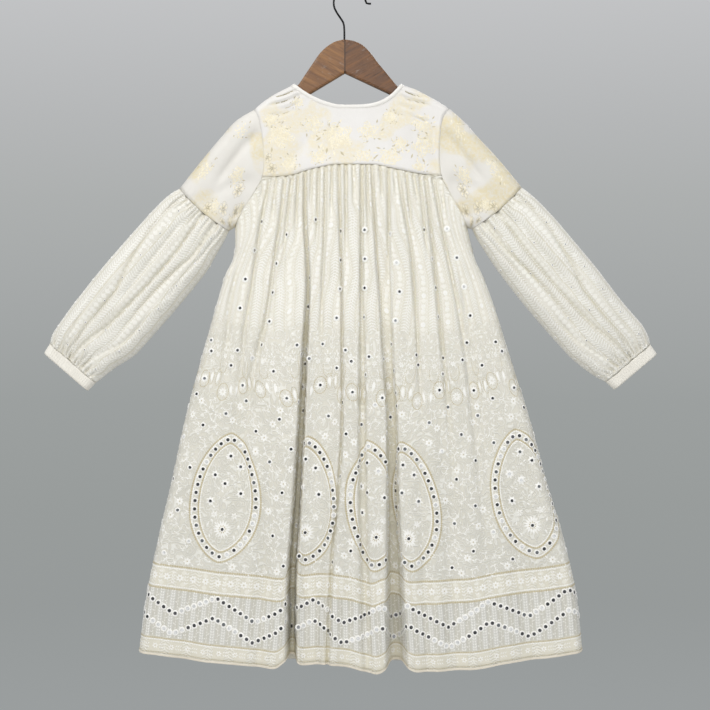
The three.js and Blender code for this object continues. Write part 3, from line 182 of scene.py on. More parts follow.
def column(table, k):
    return [row[k] for row in table]


def step(t):
    t = np.clip(t, 0, 1)
    return t * t * (3 - 2 * t)


def round_off(distance, radius):
    t = 1 - np.clip(distance / radius, 0, 1)
    return np.sqrt(np.maximum(0, 1 - t * t))


def unit(v):
    return v / np.maximum(np.linalg.norm(v, axis=-1, keepdims=True), 1e-9)


def catmull(points, n=601):
    p = np.array(points, float)
    t = np.linspace(0, len(p) - 1, n)
    i = np.minimum(t.astype(int), len(p) - 2)
    w = (t - i)[:, None]
    p0, p1, p2, p3 = p[np.maximum(i - 1, 0)], p[i], p[i + 1], p[np.minimum(i + 2, len(p) - 1)]
    v0, v1 = (p2 - p0) / 2, (p3 - p1) / 2
    return (2 * p1 - 2 * p2 + v0 + v1) * w ** 3 + (-3 * p1 + 3 * p2 - 2 * v0 - v1) * w ** 2 + v0 * w + p1


def run_of(points):
    return np.concatenate([[0], np.cumsum(np.linalg.norm(np.diff(points, axis=0), axis=1))])


def along_line(points, at):
    """Points of a polyline at shares of its length."""
    run = run_of(points)
    return np.stack([np.interp(np.asarray(at) * run[-1], run, points[:, k]) for k in range(points.shape[1])], axis=-1)


# ---------------------------------------------------------------- the body's form
def shoulder_z(x):
    x = np.asarray(x, float)
    return np.where(x < 0, curve(column(SHOULDER_L, 0), column(SHOULDER_L, 1), x), curve(column(SHOULDER_R, 0), column(SHOULDER_R, 1), x))


def half_width(side, z):
    below = np.abs(curve(column(SIDE, 0), column(SIDE, 1 if side == "left" else 2), z))
    above = np.abs(curve(column(ARM[side], 1), column(ARM[side], 0), z))
    return np.where(z < PIT_Z, below, above)


def width_at(x, z):
    return np.where(x < 0, half_width("left", z), half_width("right", z))


def half_depth(x, z):
    width = width_at(x, z)
    q = np.clip(np.abs(x) / width, 0, 1)
    middle, edge = curve(column(DEPTH, 0), column(DEPTH, 1), z), curve(column(DEPTH, 0), column(DEPTH, 2), z)
    full = edge + (middle - edge) * (1 - q * q) ** 2
    slope = np.arctan2(shoulder_z(x + 1) - shoulder_z(x - 1), 2)
    below = (shoulder_z(x) - z) * np.cos(slope)
    top = np.where(z > -100, round_off(np.maximum(0, below), 10), 1)
    to_side = np.where(z < PIT_Z, width - np.abs(x), np.hypot(np.abs(x) - 185.6, z - PIT_Z))
    return np.maximum(.15, full * top * round_off(np.maximum(0, to_side), 15))


def seam_z(face, x):
    if face == "front":
        return -149.4 + (np.asarray(x, float) + 141.6) * (2.4 / 285.8)
    return curve(column(YOKE_SEAM, 0), column(YOKE_SEAM, 1), x)


ARM_LINE = {s: catmull(ARM[s]) for s in ARM}
ARM_CORNER = {s: run_of(ARM_LINE[s])[300] / run_of(ARM_LINE[s])[-1] for s in ARM}


def gathers(table):
    out = []
    for x, drift, length, deep in table:
        top = -128 - (x / 34.0) ** 2 * .95
        out.append((2.0, [(top, x, deep, 2.7), (top - length * .5, x + drift * .5, deep * .8, 2.6), (top - length, x + drift, 0, 2.6)]))
    return out


def crease_sum(creases, x, z):
    total = np.zeros_like(x)
    for power, rows in creases:
        zs = column(rows, 0)
        at, deep, wide = (curve(zs, column(rows, k), z) for k in (1, 2, 3))
        deep = np.where(z > zs[0] + 60, 0, deep)
        total += deep * np.exp(-.9 * np.abs((x - at) / wide) ** power)
    return total


def ripple(x, z):
    return (.55 * np.sin(x / 11.0 + np.sin(z / 83.0) * 1.7) * np.sin(z / 61.0 + x / 47.0)
            + .35 * np.sin(x / 5.3 - z / 140.0 + 1.1) * np.sin(z / 37.0 - x / 29.0))


def skirt_reach(face, creases, x, z):
    below = np.maximum(0, seam_z(face, np.clip(x, -141, 144)) - z)
    middle = step((138 - np.abs(x)) / 16)
    tuck = .55 + .45 * step(below / 6)
    puff = 2.4 * step(below / 4) * (1 - step((below - 40) / 180)) * middle
    edge = np.clip((width_at(x, z) - np.abs(x)) / 20, 0, 1)
    half = half_depth(x, z)
    hollow = crease_sum(creases, x, z) * tuck
    # a crease near the top stops short of the cloth behind it
    most = half * .72 + 400 * step((-300 - z) / 160)
    hollow = np.where(z > -460, most * np.tanh(hollow / np.maximum(most, .1)), hollow)
    return half + (puff - hollow + ripple(x, z) * step(below / 40)) * edge


def skirt_grid(face, creases, flat_width, rows, columns):
    """Rows of points from the armholes and yoke seam to the hem, spread so that each row holds the same width of cloth."""
    left = along_line(ARM_LINE["left"], np.linspace(1, ARM_CORNER["left"], 80))
    right = along_line(ARM_LINE["right"], np.linspace(ARM_CORNER["right"], 1, 80))
    xs = np.linspace(left[-1, 0], right[0, 0], 400)
    seam = np.stack([xs, seam_z(face, xs)], axis=-1)
    u = np.linspace(0, 1, 2201)
    top = along_line(np.concatenate([left, seam[1:-1], right]), u)
    hem_x = np.interp(u, [0, 1], [-338.4, 369.6])
    hem = HEM[face]
    bottom = np.stack([hem_x, curve(column(hem, 0), column(hem, 1), hem_x)], axis=-1)
    t = np.linspace(0, 1, rows)
    v = .5 * t + .5 * t * t
    grid = np.zeros((rows, columns, 3))
    for i, vi in enumerate(v):
        zl, zr = PIT_Z + (-904 - PIT_Z) * vi, PIT_Z + (-903 - PIT_Z) * vi
        el = np.array([float(curve(column(SIDE, 0), column(SIDE, 1), zl)), zl])
        er = np.array([float(curve(column(SIDE, 0), column(SIDE, 2), zr)), zr])
        place = (top * (1 - vi) + bottom * vi + el * (1 - u)[:, None] + er * u[:, None]
                 - ((top[0] * (1 - u)[:, None] + top[-1] * u[:, None]) * (1 - vi) + (bottom[0] * (1 - u)[:, None] + bottom[-1] * u[:, None]) * vi))
        x, z = place[:, 0], place[:, 1]
        reach = skirt_reach(face, creases, x, z)
        reach[0] = reach[-1] = .15
        dx, dy, dz = np.diff(x), np.diff(reach), np.diff(z)
        flat2 = dx * dx + dz * dz
        low, high = 1.0, 7.0
        for _ in range(24):
            g = (low + high) / 2
            if np.sqrt(flat2 + (g * dy) ** 2).sum() < flat_width:
                low = g
            else:
                high = g
        run = np.concatenate([[0], np.cumsum(np.sqrt(flat2 + (low * dy) ** 2))])
        at = np.interp(np.linspace(0, run[-1], columns), run, u)
        grid[i] = np.stack([np.interp(at, u, x), FACE[face] * np.interp(at, u, reach), np.interp(at, u, z)], axis=-1)
    lengths = np.linalg.norm(np.diff(grid, axis=1), axis=2).sum(axis=1)
    return grid


# ---------------------------------------------------------------- meshes
def to_row(points):
    p = np.array(points, float).reshape(-1, 3)
    p[:, 0] += CLOTH_X
    p[:, 2] += CLOTH_Z
    return p / 1000.0


def mesh_from(name, points, faces, materials, slot_index=None, uvs=None, smooth=True, outward=None):
    co = to_row(points).astype(np.float32)
    faces = np.asarray(faces, np.int32)
    if outward is not None:
        # faces turn their fronts to the outside of the garment
        q = co[faces]
        lean = (np.cross(q[:, 2] - q[:, 0], q[:, 3] - q[:, 1]) * np.asarray(outward, float).reshape(-1, 3)[faces[:, 0]]).sum()
        if lean < 0:
            faces = np.ascontiguousarray(faces[:, ::-1])
    size = faces.shape[1]
    me = bpy.data.meshes.new(name)
    me.vertices.add(len(co))
    me.vertices.foreach_set("co", co.ravel())
    me.loops.add(faces.size)
    me.loops.foreach_set("vertex_index", faces.ravel())
    me.polygons.add(len(faces))
    me.polygons.foreach_set("loop_start", np.arange(0, faces.size, size, dtype=np.int32))
    me.update(calc_edges=True)
    if slot_index is not None:
        me.polygons.foreach_set("material_index", np.asarray(slot_index, np.int32))
    me.polygons.foreach_set("use_smooth", np.full(len(faces), smooth, bool))
    if uvs is not None:
        layer = me.uv_layers.new(name="UVMap")
        layer.data.foreach_set("uv", (np.asarray(uvs, float).reshape(-1, 2)[faces.ravel()] / 1000.0).astype(np.float32).ravel())
    me.validate()
    me.update()
    for m in materials:
        me.materials.append(m)
    ob = bpy.data.objects.new(name, me)
    bpy.context.scene.collection.objects.link(ob)
    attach(ob, "root")
    return ob


def grid_faces(rows, columns, wrap=False):
    i, j = np.meshgrid(np.arange(rows - 1), np.arange(columns if wrap else columns - 1), indexing="ij")
    i, j = i.ravel(), j.ravel()
    k = (j + 1) % columns
    return np.stack([i * columns + j, (i + 1) * columns + j, (i + 1) * columns + k, i * columns + k], axis=-1)


def thicken(ob, mm):
    mod = ob.modifiers.new("wall", "SOLIDIFY")
    mod.thickness = mm / 1000.0
    mod.offset = -1.0
    mod.use_even_offset = False
    return ob


class Sheet:
    """Places stitches on a grid of cloth: a is the distance across the cloth, b the distance along it."""

    def __init__(self, grid, a_step, b, sign, b_step=4.0, wrap=False):
        rows, columns, _ = grid.shape
        if b.ndim == 1:
            b = np.repeat(b[:, None], columns, axis=1)
        levels = np.arange(0, b.max() + b_step, b_step)
        m = np.full((len(levels), columns, 3), np.nan)
        for j in range(columns):
            order = np.argsort(b[:, j])
            bj = b[order, j]
            inside = (levels <= bj[-1]) & (levels >= bj[0] - 1e-6)
            for k in range(3):
                m[inside, j, k] = np.interp(levels[inside], bj, grid[order, j, k])
        if wrap:
            m = np.concatenate([m, m[:, :1]], axis=1)
        da = np.gradient(m, axis=1)
        db = np.gradient(m, axis=0)
        if wrap:
            edge = (m[:, 1] - m[:, -2]) / 2
            da[:, 0] = da[:, -1] = edge
        self.m, self.n, self.t = m, unit(np.cross(da, db)) * sign, unit(da)
        self.a_step, self.b_step, self.wrap = a_step, b_step, wrap
        self.width = a_step * (m.shape[1] - 1)

    def read(self, table, a, b):
        fa, fb = (np.mod(a, self.width) if self.wrap else a) / self.a_step, b / self.b_step
        rows, columns = table.shape[:2]
        out = (fa < 0) | (fa > columns - 1) | (fb < 0) | (fb > rows - 1)
        j, k = np.clip(fa.astype(int), 0, columns - 2), np.clip(fb.astype(int), 0, rows - 2)
        ta, tb = (fa - j)[..., None], (fb - k)[..., None]
        v = (table[k, j] * (1 - ta) + table[k, j + 1] * ta) * (1 - tb) + (table[k + 1, j] * (1 - ta) + table[k + 1, j + 1] * ta) * tb
        v[out] = np.nan
        return v

    def place(self, a, b, h):
        return self.read(self.m, a, b) + unit(self.read(self.n, a, b)) * h[..., None]


class Work:
    """Embroidery of one sheet: stitches and mirrors, gathered and joined as one mesh."""

    def __init__(self, sheet):
        self.sheet, self.rows, self.mirrors = sheet, [], []

    def leaf(self, a, b, ang, length, width, high=.55, mat=0):
        a, b, ang, length, width, high, mat = np.broadcast_arrays(*[np.asarray(v, float) for v in (a, b, ang, length, width, high, mat)])
        self.rows.append(np.stack([v.ravel() for v in (a, b, ang, length, width, high, mat)], axis=-1))

    def path(self, points, pitch, width, high=.5, mat=0, fill=.92):
        """A run of stitches along a line."""
        p = np.asarray(points, float)
        total = run_of(p)[-1]
        n = max(1, int(round(total / pitch)))
        q = along_line(p, (np.arange(n) + .5) / n)
        d = along_line(p, (np.arange(n) + .9) / n) - along_line(p, (np.arange(n) + .1) / n)
        self.leaf(q[:, 0], q[:, 1], np.arctan2(d[:, 1], d[:, 0]), pitch * fill, width, high, mat)

    def flower(self, a, b, r, petals=5, mat=0, turn=0.0, width=None):
        k = turn + np.arange(petals) * 2 * np.pi / petals
        self.leaf(a + np.cos(k) * r * .55, b + np.sin(k) * r * .55, k, r * .9, width or r * .5, .7, mat)

    def mirror(self, a, b, disc=2.7, ring=4.6, kind=0):
        a, b, disc, ring, kind = np.broadcast_arrays(*[np.asarray(v, float) for v in (a, b, disc, ring, kind)])
        self.mirrors.append(np.stack([v.ravel() for v in (a, b, disc, ring, kind)], axis=-1))

    def build(self, name, materials, mirror_at=3):
        pts, tris, mats, count = [], [], [], 0
        if self.rows:
            r = np.concatenate(self.rows)
            along = np.array([-.5, 0, 0, .5, 0]) * r[:, 3:4]
            across = np.array([0, .5, -.5, 0, 0]) * r[:, 4:5]
            c, s = np.cos(r[:, 2:3]), np.sin(r[:, 2:3])
            h = np.concatenate([np.full((len(r), 4), .04), r[:, 5:6]], axis=1)
            p = self.sheet.place(r[:, 0:1] + along * c - across * s, r[:, 1:2] + along * s + across * c, h)
            ok = ~np.isnan(p).any(axis=(1, 2))
            # a stitch that the gathering would pull far apart is left out
            ok &= (np.linalg.norm(p[:, 0] - p[:, 3], axis=1) < r[:, 3] * 1.5) & (np.linalg.norm(p[:, 1] - p[:, 2], axis=1) < r[:, 4] * 1.5)
            p, m = p[ok], r[ok, 6].astype(int)
            f = np.array([[0, 2, 4], [2, 3, 4], [3, 1, 4], [1, 0, 4]])
            pts.append(p.reshape(-1, 3))
            tris.append((np.arange(len(p))[:, None, None] * 5 + f).reshape(-1, 3))
            mats.append(np.repeat(m, 4))
            count = len(p) * 5
        if self.mirrors:
            r = np.concatenate(self.mirrors)
            centre = self.sheet.read(self.sheet.m, r[:, 0], r[:, 1])
            normal = unit(self.sheet.read(self.sheet.n, r[:, 0], r[:, 1]))
            side = unit(self.sheet.read(self.sheet.t, r[:, 0], r[:, 1]))
            ok = ~(np.isnan(centre).any(axis=1) | np.isnan(normal).any(axis=1) | np.isnan(side).any(axis=1))
            pull = np.linalg.norm(self.sheet.read(self.sheet.m, r[:, 0] + 2, r[:, 1]) - self.sheet.read(self.sheet.m, r[:, 0] - 2, r[:, 1]), axis=1) / 4
            ok &= (pull < 1.3) & (pull > .25)
            r, centre, normal, side = r[ok], centre[ok], normal[ok], side[ok]
            if len(r):
                side = unit(side - normal * (side * normal).sum(axis=1, keepdims=True))
                other = np.cross(normal, side)
                seg = 8
                k = np.arange(seg) * 2 * np.pi / seg
                ca, sa = np.cos(k)[None, :, None], np.sin(k)[None, :, None]
                circle = lambda rad, h: (centre[:, None] + (side[:, None] * ca + other[:, None] * sa) * rad[:, None, None] + normal[:, None] * h)
                # the disc leans a little, each its own way
                lean = np.sin(np.arange(len(r)) * 2.399)[:, None, None] * .045 * ca + np.cos(np.arange(len(r)) * 1.733)[:, None, None] * .045 * sa
                disc = circle(r[:, 2], .55) + normal[:, None] * lean * r[:, 2][:, None, None]
                p = np.concatenate([circle(r[:, 2] * .96, .5), circle((r[:, 2] + r[:, 3]) / 2, 1.15), circle(r[:, 3], .05), disc,
                                    (centre + normal * .55)[:, None]], axis=1)
                j = np.arange(seg)
                jn = (j + 1) % seg
                f = np.concatenate([np.stack([j, jn, seg + jn], -1), np.stack([j, seg + jn, seg + j], -1),
                                    np.stack([seg + j, seg + jn, 2 * seg + jn], -1), np.stack([seg + j, 2 * seg + jn, 2 * seg + j], -1),
                                    np.stack([3 * seg + j, 3 * seg + jn, np.full(seg, 4 * seg)], -1)])
                m = np.concatenate([np.zeros(4 * seg, int), np.full(seg, -1)])
                kinds = mirror_at + r[:, 4].astype(int)
                each = np.where(m[None] < 0, kinds[:, None], 0)
                pts.append(p.reshape(-1, 3))
                tris.append((count + np.arange(len(r))[:, None, None] * (4 * seg + 1) + f).reshape(-1, 3))
                mats.append(each.ravel())
        ob = mesh_from(name, np.concatenate(pts), np.concatenate(tris), materials, np.concatenate(mats))
        return ob


# ---------------------------------------------------------------- materials
def nodes_of(name):
    m = bpy.data.materials.new(name)
    m.use_nodes = True
    tree = m.node_tree
    return m, tree, tree.nodes["Principled BSDF"]


def ramp(tree, source, stops):
    n = tree.nodes.new("ShaderNodeValToRGB")
    e = n.color_ramp.elements
    while len(e) < len(stops):
        e.new(.5)
    for k, (at, colour) in enumerate(stops):
        e[k].position = at
        e[k].color = (*colour, 1)
    tree.links.new(source, n.inputs["Fac"])
    return n.outputs["Color"]


def noise(tree, vector, scale, detail=3.0, rough=.55, stretch=None):
    n = tree.nodes.new("ShaderNodeTexNoise")
    n.inputs["Scale"].default_value = scale
    n.inputs["Detail"].default_value = detail
    n.inputs["Roughness"].default_value = rough
    if stretch:
        mp = tree.nodes.new("ShaderNodeMapping")
        mp.inputs["Scale"].default_value = stretch
        tree.links.new(vector, mp.inputs["Vector"])
        vector = mp.outputs["Vector"]
    tree.links.new(vector, n.inputs["Vector"])
    return n.outputs["Fac"]


def maths(tree, kind, a, b):
    n = tree.nodes.new("ShaderNodeMath")
    n.operation = kind
    for k, v in enumerate((a, b)):
        if isinstance(v, (int, float)):
            n.inputs[k].default_value = v
        else:
            tree.links.new(v, n.inputs[k])
    return n.outputs[0]


def mix(tree, fac, a, b, how="MIX"):
    n = tree.nodes.new("ShaderNodeMix")
    n.data_type = "RGBA"
    n.blend_type = how
    if isinstance(fac, (int, float)):
        n.inputs[0].default_value = fac
    else:
        tree.links.new(fac, n.inputs[0])
    for socket, v in ((n.inputs[6], a), (n.inputs[7], b)):
        if isinstance(v, tuple):
            socket.default_value = (*v, 1)
        else:
            tree.links.new(v, socket)
    return n.outputs[2]


def bump(tree, shader, height, distance, strength=1.0, after=None):
    n = tree.nodes.new("ShaderNodeBump")
    n.inputs["Strength"].default_value = strength
    n.inputs["Distance"].default_value = distance
    tree.links.new(height, n.inputs["Height"])
    if after is not None:
        tree.links.new(after, n.inputs["Normal"])
    tree.links.new(n.outputs["Normal"], shader.inputs["Normal"])
    return n.outputs["Normal"]


def wave(tree, vector, scale, direction):
    n = tree.nodes.new("ShaderNodeTexWave")
    n.wave_type = "BANDS"
    n.bands_direction = direction
    n.inputs["Scale"].default_value = scale
    n.inputs["Distortion"].default_value = .4
    n.inputs["Detail"].default_value = 1
    tree.links.new(vector, n.inputs["Vector"])
    return n.outputs["Fac"]


def stitch_ground(tree, uv, pitch, low, high):
    """Fine raised thread all over: leaf rows in stripes, and curling lines between two heights of the panel. It also
    gives a thin line at each column edge, part outline thread and part painted shade.
    """
    sep = tree.nodes.new("ShaderNodeSeparateXYZ")
    tree.links.new(uv, sep.inputs[0])
    u, v = sep.outputs[0], sep.outputs[1]
    inside = maths(tree, "ABSOLUTE", maths(tree, "SUBTRACT", maths(tree, "FRACT", maths(tree, "MULTIPLY", u, 1 / pitch), 0.0), .5), 0.0)
    phase = maths(tree, "ADD", maths(tree, "MULTIPLY", v, 2 * math.pi / .0046), maths(tree, "MULTIPLY", inside, 13.0))
    leafy = maths(tree, "MULTIPLY", maths(tree, "SINE", phase, 0.0), .5)
    rows = ramp(tree, maths(tree, "ADD", leafy, .5), [(.42, (0, 0, 0)), (.66, (1, 1, 1))])
    edge = ramp(tree, inside, [(.40, (1, 1, 1)), (.45, (0, 0, 0))])
    ladder = maths(tree, "MULTIPLY", rows, edge)
    # every other column is a chain of petals
    petal = maths(tree, "ABSOLUTE", maths(tree, "SINE", maths(tree, "MULTIPLY", v, math.pi / .0092), 0.0), 0.0)
    chain = maths(tree, "GREATER_THAN", petal, maths(tree, "ADD", maths(tree, "MULTIPLY", inside, 3.4), .18))
    if high > low:
        chain = maths(tree, "MULTIPLY", chain, maths(tree, "GREATER_THAN", v, .106))
    odd = maths(tree, "MODULO", maths(tree, "FLOOR", maths(tree, "MULTIPLY", u, 1 / pitch), 0.0), 2.0)
    turn = tree.nodes.new("ShaderNodeMix")
    turn.data_type = "FLOAT"
    tree.links.new(odd, turn.inputs[0])
    tree.links.new(maths(tree, "MULTIPLY", chain, .75), turn.inputs[2])
    tree.links.new(ladder, turn.inputs[3])
    striped_mask = turn.outputs[0]
    # thin line at each column edge: partly the columns' outline thread, partly painted shade standing in for the shadow
    # lines along fold edges
    seam = ramp(tree, inside, [(.455, (0, 0, 0)), (.49, (1, 1, 1))])
    if high <= low:
        return striped_mask, seam
    swirl = maths(tree, "SINE", maths(tree, "MULTIPLY", noise(tree, uv, 50.0, 1.0, .4), 66.0), 0.0)
    curls = ramp(tree, swirl, [(.25, (0, 0, 0)), (.75, (.82, .82, .82))])
    field = maths(tree, "MULTIPLY", maths(tree, "GREATER_THAN", v, low), maths(tree, "LESS_THAN", v, high))
    pick = tree.nodes.new("ShaderNodeMix")
    pick.data_type = "FLOAT"
    tree.links.new(field, pick.inputs[0])
    tree.links.new(striped_mask, pick.inputs[2])
    tree.links.new(curls, pick.inputs[3])
    # upright leaf columns, half as wide, in the border over the hem
    near = maths(tree, "ABSOLUTE", maths(tree, "SUBTRACT", maths(tree, "FRACT", maths(tree, "ADD", maths(tree, "MULTIPLY", u, 1 / pitch), .751), 0.0), .5), 0.0)
    slant = maths(tree, "SINE", maths(tree, "ADD", maths(tree, "MULTIPLY", v, 2 * math.pi / .0043), maths(tree, "MULTIPLY", near, 22.0)), 0.0)
    bars = maths(tree, "MULTIPLY", ramp(tree, near, [(.21, (1, 1, 1)), (.30, (0, 0, 0))]), maths(tree, "ADD", maths(tree, "MULTIPLY", slant, .28), .72))
    last = tree.nodes.new("ShaderNodeMix")
    last.data_type = "FLOAT"
    tree.links.new(maths(tree, "MULTIPLY", maths(tree, "LESS_THAN", v, .105), maths(tree, "GREATER_THAN", v, .029)), last.inputs[0])
    tree.links.new(pick.outputs[0], last.inputs[2])
    tree.links.new(bars, last.inputs[3])
    return last.outputs[0], maths(tree, "MULTIPLY", seam, maths(tree, "GREATER_THAN", v, high))


def cloth(name, light, shade, rough, sheen, weave=420.0, weave_deep=.00012, crinkle=.0006, crinkle_scale=95.0, patches=None, stitched=None, painted_crease_shade=None, tiers=None):
    """Woven cotton: fine thread both ways, a soft crinkle and a slight change of tone, with painted shade darkening the
    creases and recesses where a crease shade is given.
    """
    m, tree, shader = nodes_of(name)
    tc = tree.nodes.new("ShaderNodeTexCoord")
    uv, place = tc.outputs["UV"], tc.outputs["Object"]
    tone = noise(tree, place, 26.0, 4.0)
    colour = ramp(tree, tone, [(.30, shade), (.68, light)])
    threads = maths(tree, "MULTIPLY", wave(tree, uv, weave, "X"), wave(tree, uv, weave, "Y"))
    colour = mix(tree, maths(tree, "MULTIPLY", threads, .10), colour, tuple(c * .80 for c in shade))
    raised = None
    if stitched:
        pitch, low, high, tint, amount = stitched
        raised, seam = stitch_ground(tree, uv, pitch, low, high)
        colour = mix(tree, maths(tree, "MULTIPLY", raised, amount), colour, tint)
        # the column-edge line darkens toward olive: partly outline thread, partly painted shade of the fold edges
        colour = mix(tree, maths(tree, "MULTIPLY", seam, .42), colour, (.56, .50, .32))
    if tiers:
        sep = tree.nodes.new("ShaderNodeSeparateXYZ")
        tree.links.new(uv, sep.inputs[0])
        level = maths(tree, "MULTIPLY", sep.outputs[1], 1 / .8)
        colour = mix(tree, 1.0, colour, ramp(tree, level, [(high / .8, c) for high, c in tiers]), "MULTIPLY")
    # painted shade: where the ambient occlusion test finds the cloth closed in, in creases, recesses and where parts
    # meet, the colour is mixed toward a dark warm tint
    if painted_crease_shade:
        reach, crease_shade_tint, amount = painted_crease_shade
        ao = tree.nodes.new("ShaderNodeAmbientOcclusion")
        ao.samples = 6
        ao.inputs["Distance"].default_value = reach
        crease_shade_mask = ramp(tree, ao.outputs["AO"], [(.10, (amount, amount, amount)), (.95, (0, 0, 0))])
        colour = mix(tree, crease_shade_mask, colour, crease_shade_tint)
    if patches:
        scale, low, high, tint, amount = patches
        mask = ramp(tree, noise(tree, place, scale, 2.0, .5), [(low, (0, 0, 0)), (high, (1, 1, 1))])
        fine = ramp(tree, noise(tree, place, scale * 14, 3.0, .7), [(.35, (.25, .25, .25)), (.6, (1, 1, 1))])
        colour = mix(tree, maths(tree, "MULTIPLY", maths(tree, "MULTIPLY", mask, fine), amount), colour, tint)
    tree.links.new(colour, shader.inputs["Base Color"])
    shader.inputs["Roughness"].default_value = rough
    shader.inputs["Sheen Weight"].default_value = sheen
    shader.inputs["Sheen Roughness"].default_value = .45
    shader.inputs["Specular IOR Level"].default_value = .35
    first = bump(tree, shader, threads, weave_deep, .5)
    if raised is not None:
        first = bump(tree, shader, raised, .0009, .8, first)
    bump(tree, shader, noise(tree, place, crinkle_scale, 4.0, .6), crinkle, .6, first)
    return m


def thread(name, light, shade, rough=.45, sheen=.25):
    """Twisted embroidery thread."""
    m, tree, shader = nodes_of(name)
    tc = tree.nodes.new("ShaderNodeTexCoord")
    place = tc.outputs["Object"]
    tree.links.new(ramp(tree, noise(tree, place, 190.0, 3.0), [(.34, shade), (.62, light)]), shader.inputs["Base Color"])
    shader.inputs["Roughness"].default_value = rough
    shader.inputs["Sheen Weight"].default_value = sheen
    shader.inputs["Specular IOR Level"].default_value = .45
    bump(tree, shader, noise(tree, place, 1300.0, 2.0), .0002, .5)
    return m


def mirror_glass(name, colour, rough, metal=1.0):
    """Small silvered glass disc, a little scratched; its base colour is painted reflection, darker for a disc that
    mirrors dark surroundings.
    """
    m, tree, shader = nodes_of(name)
    tc = tree.nodes.new("ShaderNodeTexCoord")
    dark = tuple(c * .75 for c in colour)
    tree.links.new(ramp(tree, noise(tree, tc.outputs["Object"], 300.0, 2.0), [(.4, dark), (.6, colour)]), shader.inputs["Base Color"])
    shader.inputs["Metallic"].default_value = metal
    shader.inputs["Roughness"].default_value = rough
    bump(tree, shader, noise(tree, tc.outputs["Object"], 700.0, 2.0), .00004, .3)
    return m


def wood(name, light, dark, angle):
    """Stained wood: long grain, pores, rubbed corners and a few pale scuffs."""
    m, tree, shader = nodes_of(name)
    tc = tree.nodes.new("ShaderNodeTexCoord")
    mp = tree.nodes.new("ShaderNodeMapping")
    mp.inputs["Rotation"].default_value = (0, angle, 0)
    tree.links.new(tc.outputs["Object"], mp.inputs["Vector"])
    at = mp.outputs["Vector"]
    grain = noise(tree, at, 9.0, 8.0, .62, (1.6, 9.0, 17.0))
    pores = noise(tree, at, 34.0, 4.0, .6, (1.2, 12.0, 20.0))
    scuffs = noise(tree, at, 24.0, 6.0, .75, (2.2, 2.0, 7.0))
    colour = ramp(tree, grain, [(.30, dark), (.52, tuple((a + b) / 2 for a, b in zip(light, dark))), (.72, light)])
    colour = mix(tree, ramp(tree, pores, [(.56, (0, 0, 0)), (.70, (.75, .75, .75))]), colour, tuple(c * .45 for c in dark))
    colour = mix(tree, ramp(tree, scuffs, [(.60, (0, 0, 0)), (.74, (.55, .55, .55))]), colour, (.46, .42, .38))
    # rubbed corners, where a rounded normal parts from the flat one
    bev = tree.nodes.new("ShaderNodeBevel")
    bev.samples = 6
    bev.inputs["Radius"].default_value = .0022
    geo = tree.nodes.new("ShaderNodeNewGeometry")
    dot = tree.nodes.new("ShaderNodeVectorMath")
    dot.operation = "DOT_PRODUCT"
    tree.links.new(bev.outputs["Normal"], dot.inputs[0])
    tree.links.new(geo.outputs["Normal"], dot.inputs[1])
    edge = ramp(tree, dot.outputs["Value"], [(.90, (1, 1, 1)), (.985, (0, 0, 0))])
    sep = tree.nodes.new("ShaderNodeSeparateXYZ")
    tree.links.new(tc.outputs["Object"], sep.inputs[0])
    seam = maths(tree, "MULTIPLY", maths(tree, "ABSOLUTE", maths(tree, "ADD", sep.outputs[0], .0082), 0.0), 100.0)
    worn = maths(tree, "MULTIPLY", maths(tree, "MULTIPLY", edge, maths(tree, "GREATER_THAN", seam, .35)), maths(tree, "MULTIPLY", scuffs, 1.35))
    colour = mix(tree, worn, colour, (.52, .41, .30))
    colour = mix(tree, ramp(tree, seam, [(.05, (.85, .85, .85)), (.14, (0, 0, 0))]), colour, tuple(c * .30 for c in dark))
    tree.links.new(colour, shader.inputs["Base Color"])
    tree.links.new(ramp(tree, grain, [(.2, (.36, .36, .36)), (.8, (.52, .52, .52))]), shader.inputs["Roughness"])
    shader.inputs["Specular IOR Level"].default_value = .4
    first = bump(tree, shader, pores, .0003, .5)
    bump(tree, shader, grain, .0005, .5, first)
    return m


def wire(name):
    m, tree, shader = nodes_of(name)
    tc = tree.nodes.new("ShaderNodeTexCoord")
    rub = noise(tree, tc.outputs["Object"], 160.0, 5.0, .7)
    tree.links.new(ramp(tree, rub, [(.50, (.012, .012, .013)), (.72, (.055, .054, .052))]), shader.inputs["Base Color"])
    tree.links.new(ramp(tree, rub, [(.3, (.30, .30, .30)), (.7, (.48, .48, .48))]), shader.inputs["Roughness"])
    shader.inputs["Metallic"].default_value = .85
    bump(tree, shader, rub, .0001, .4)
    return m


# the crease shade entries are painted shade for the creases: reach of the occlusion test, shade tint and strength
SKIRT = cloth("skirt_cotton", (.835, .805, .715), (.78, .75, .655), .85, .05, stitched=(.0175, .142, .530, (.96, .945, .885), .85), painted_crease_shade=(.022, (.72, .655, .43), .50),
              tiers=[(0, (.92, .915, .89)), (.026, (.92, .915, .89)), (.031, (.76, .768, .78)), (.104, (.76, .768, .78)), (.109, (.915, .91, .885)), (.138, (.915, .91, .885)),
                     (.144, (.87, .877, .885)), (.50, (.91, .91, .905)), (.56, (1.0, 1.0, 1.0))])
SLEEVE = cloth("sleeve_cotton", (.80, .775, .70), (.75, .725, .65), .85, .05, stitched=(.0190, 1.0, .0, (.95, .935, .88), .75), painted_crease_shade=(.018, (.58, .525, .35), .45))
YOKE = cloth("yoke_satin", (.812, .793, .768), (.782, .758, .728), .50, .08, crinkle=.0005, crinkle_scale=55.0,
             patches=(13.0, .47, .53, (.79, .712, .52), .85), painted_crease_shade=(.010, (.55, .50, .38), .6))
SLEEVE_TOP = cloth("sleeve_satin", (.775, .752, .705), (.745, .718, .668), .50, .08, crinkle=.0005, crinkle_scale=55.0,
                   patches=(14.0, .435, .515, (.735, .65, .435), .95), painted_crease_shade=(.010, (.55, .50, .38), .6))
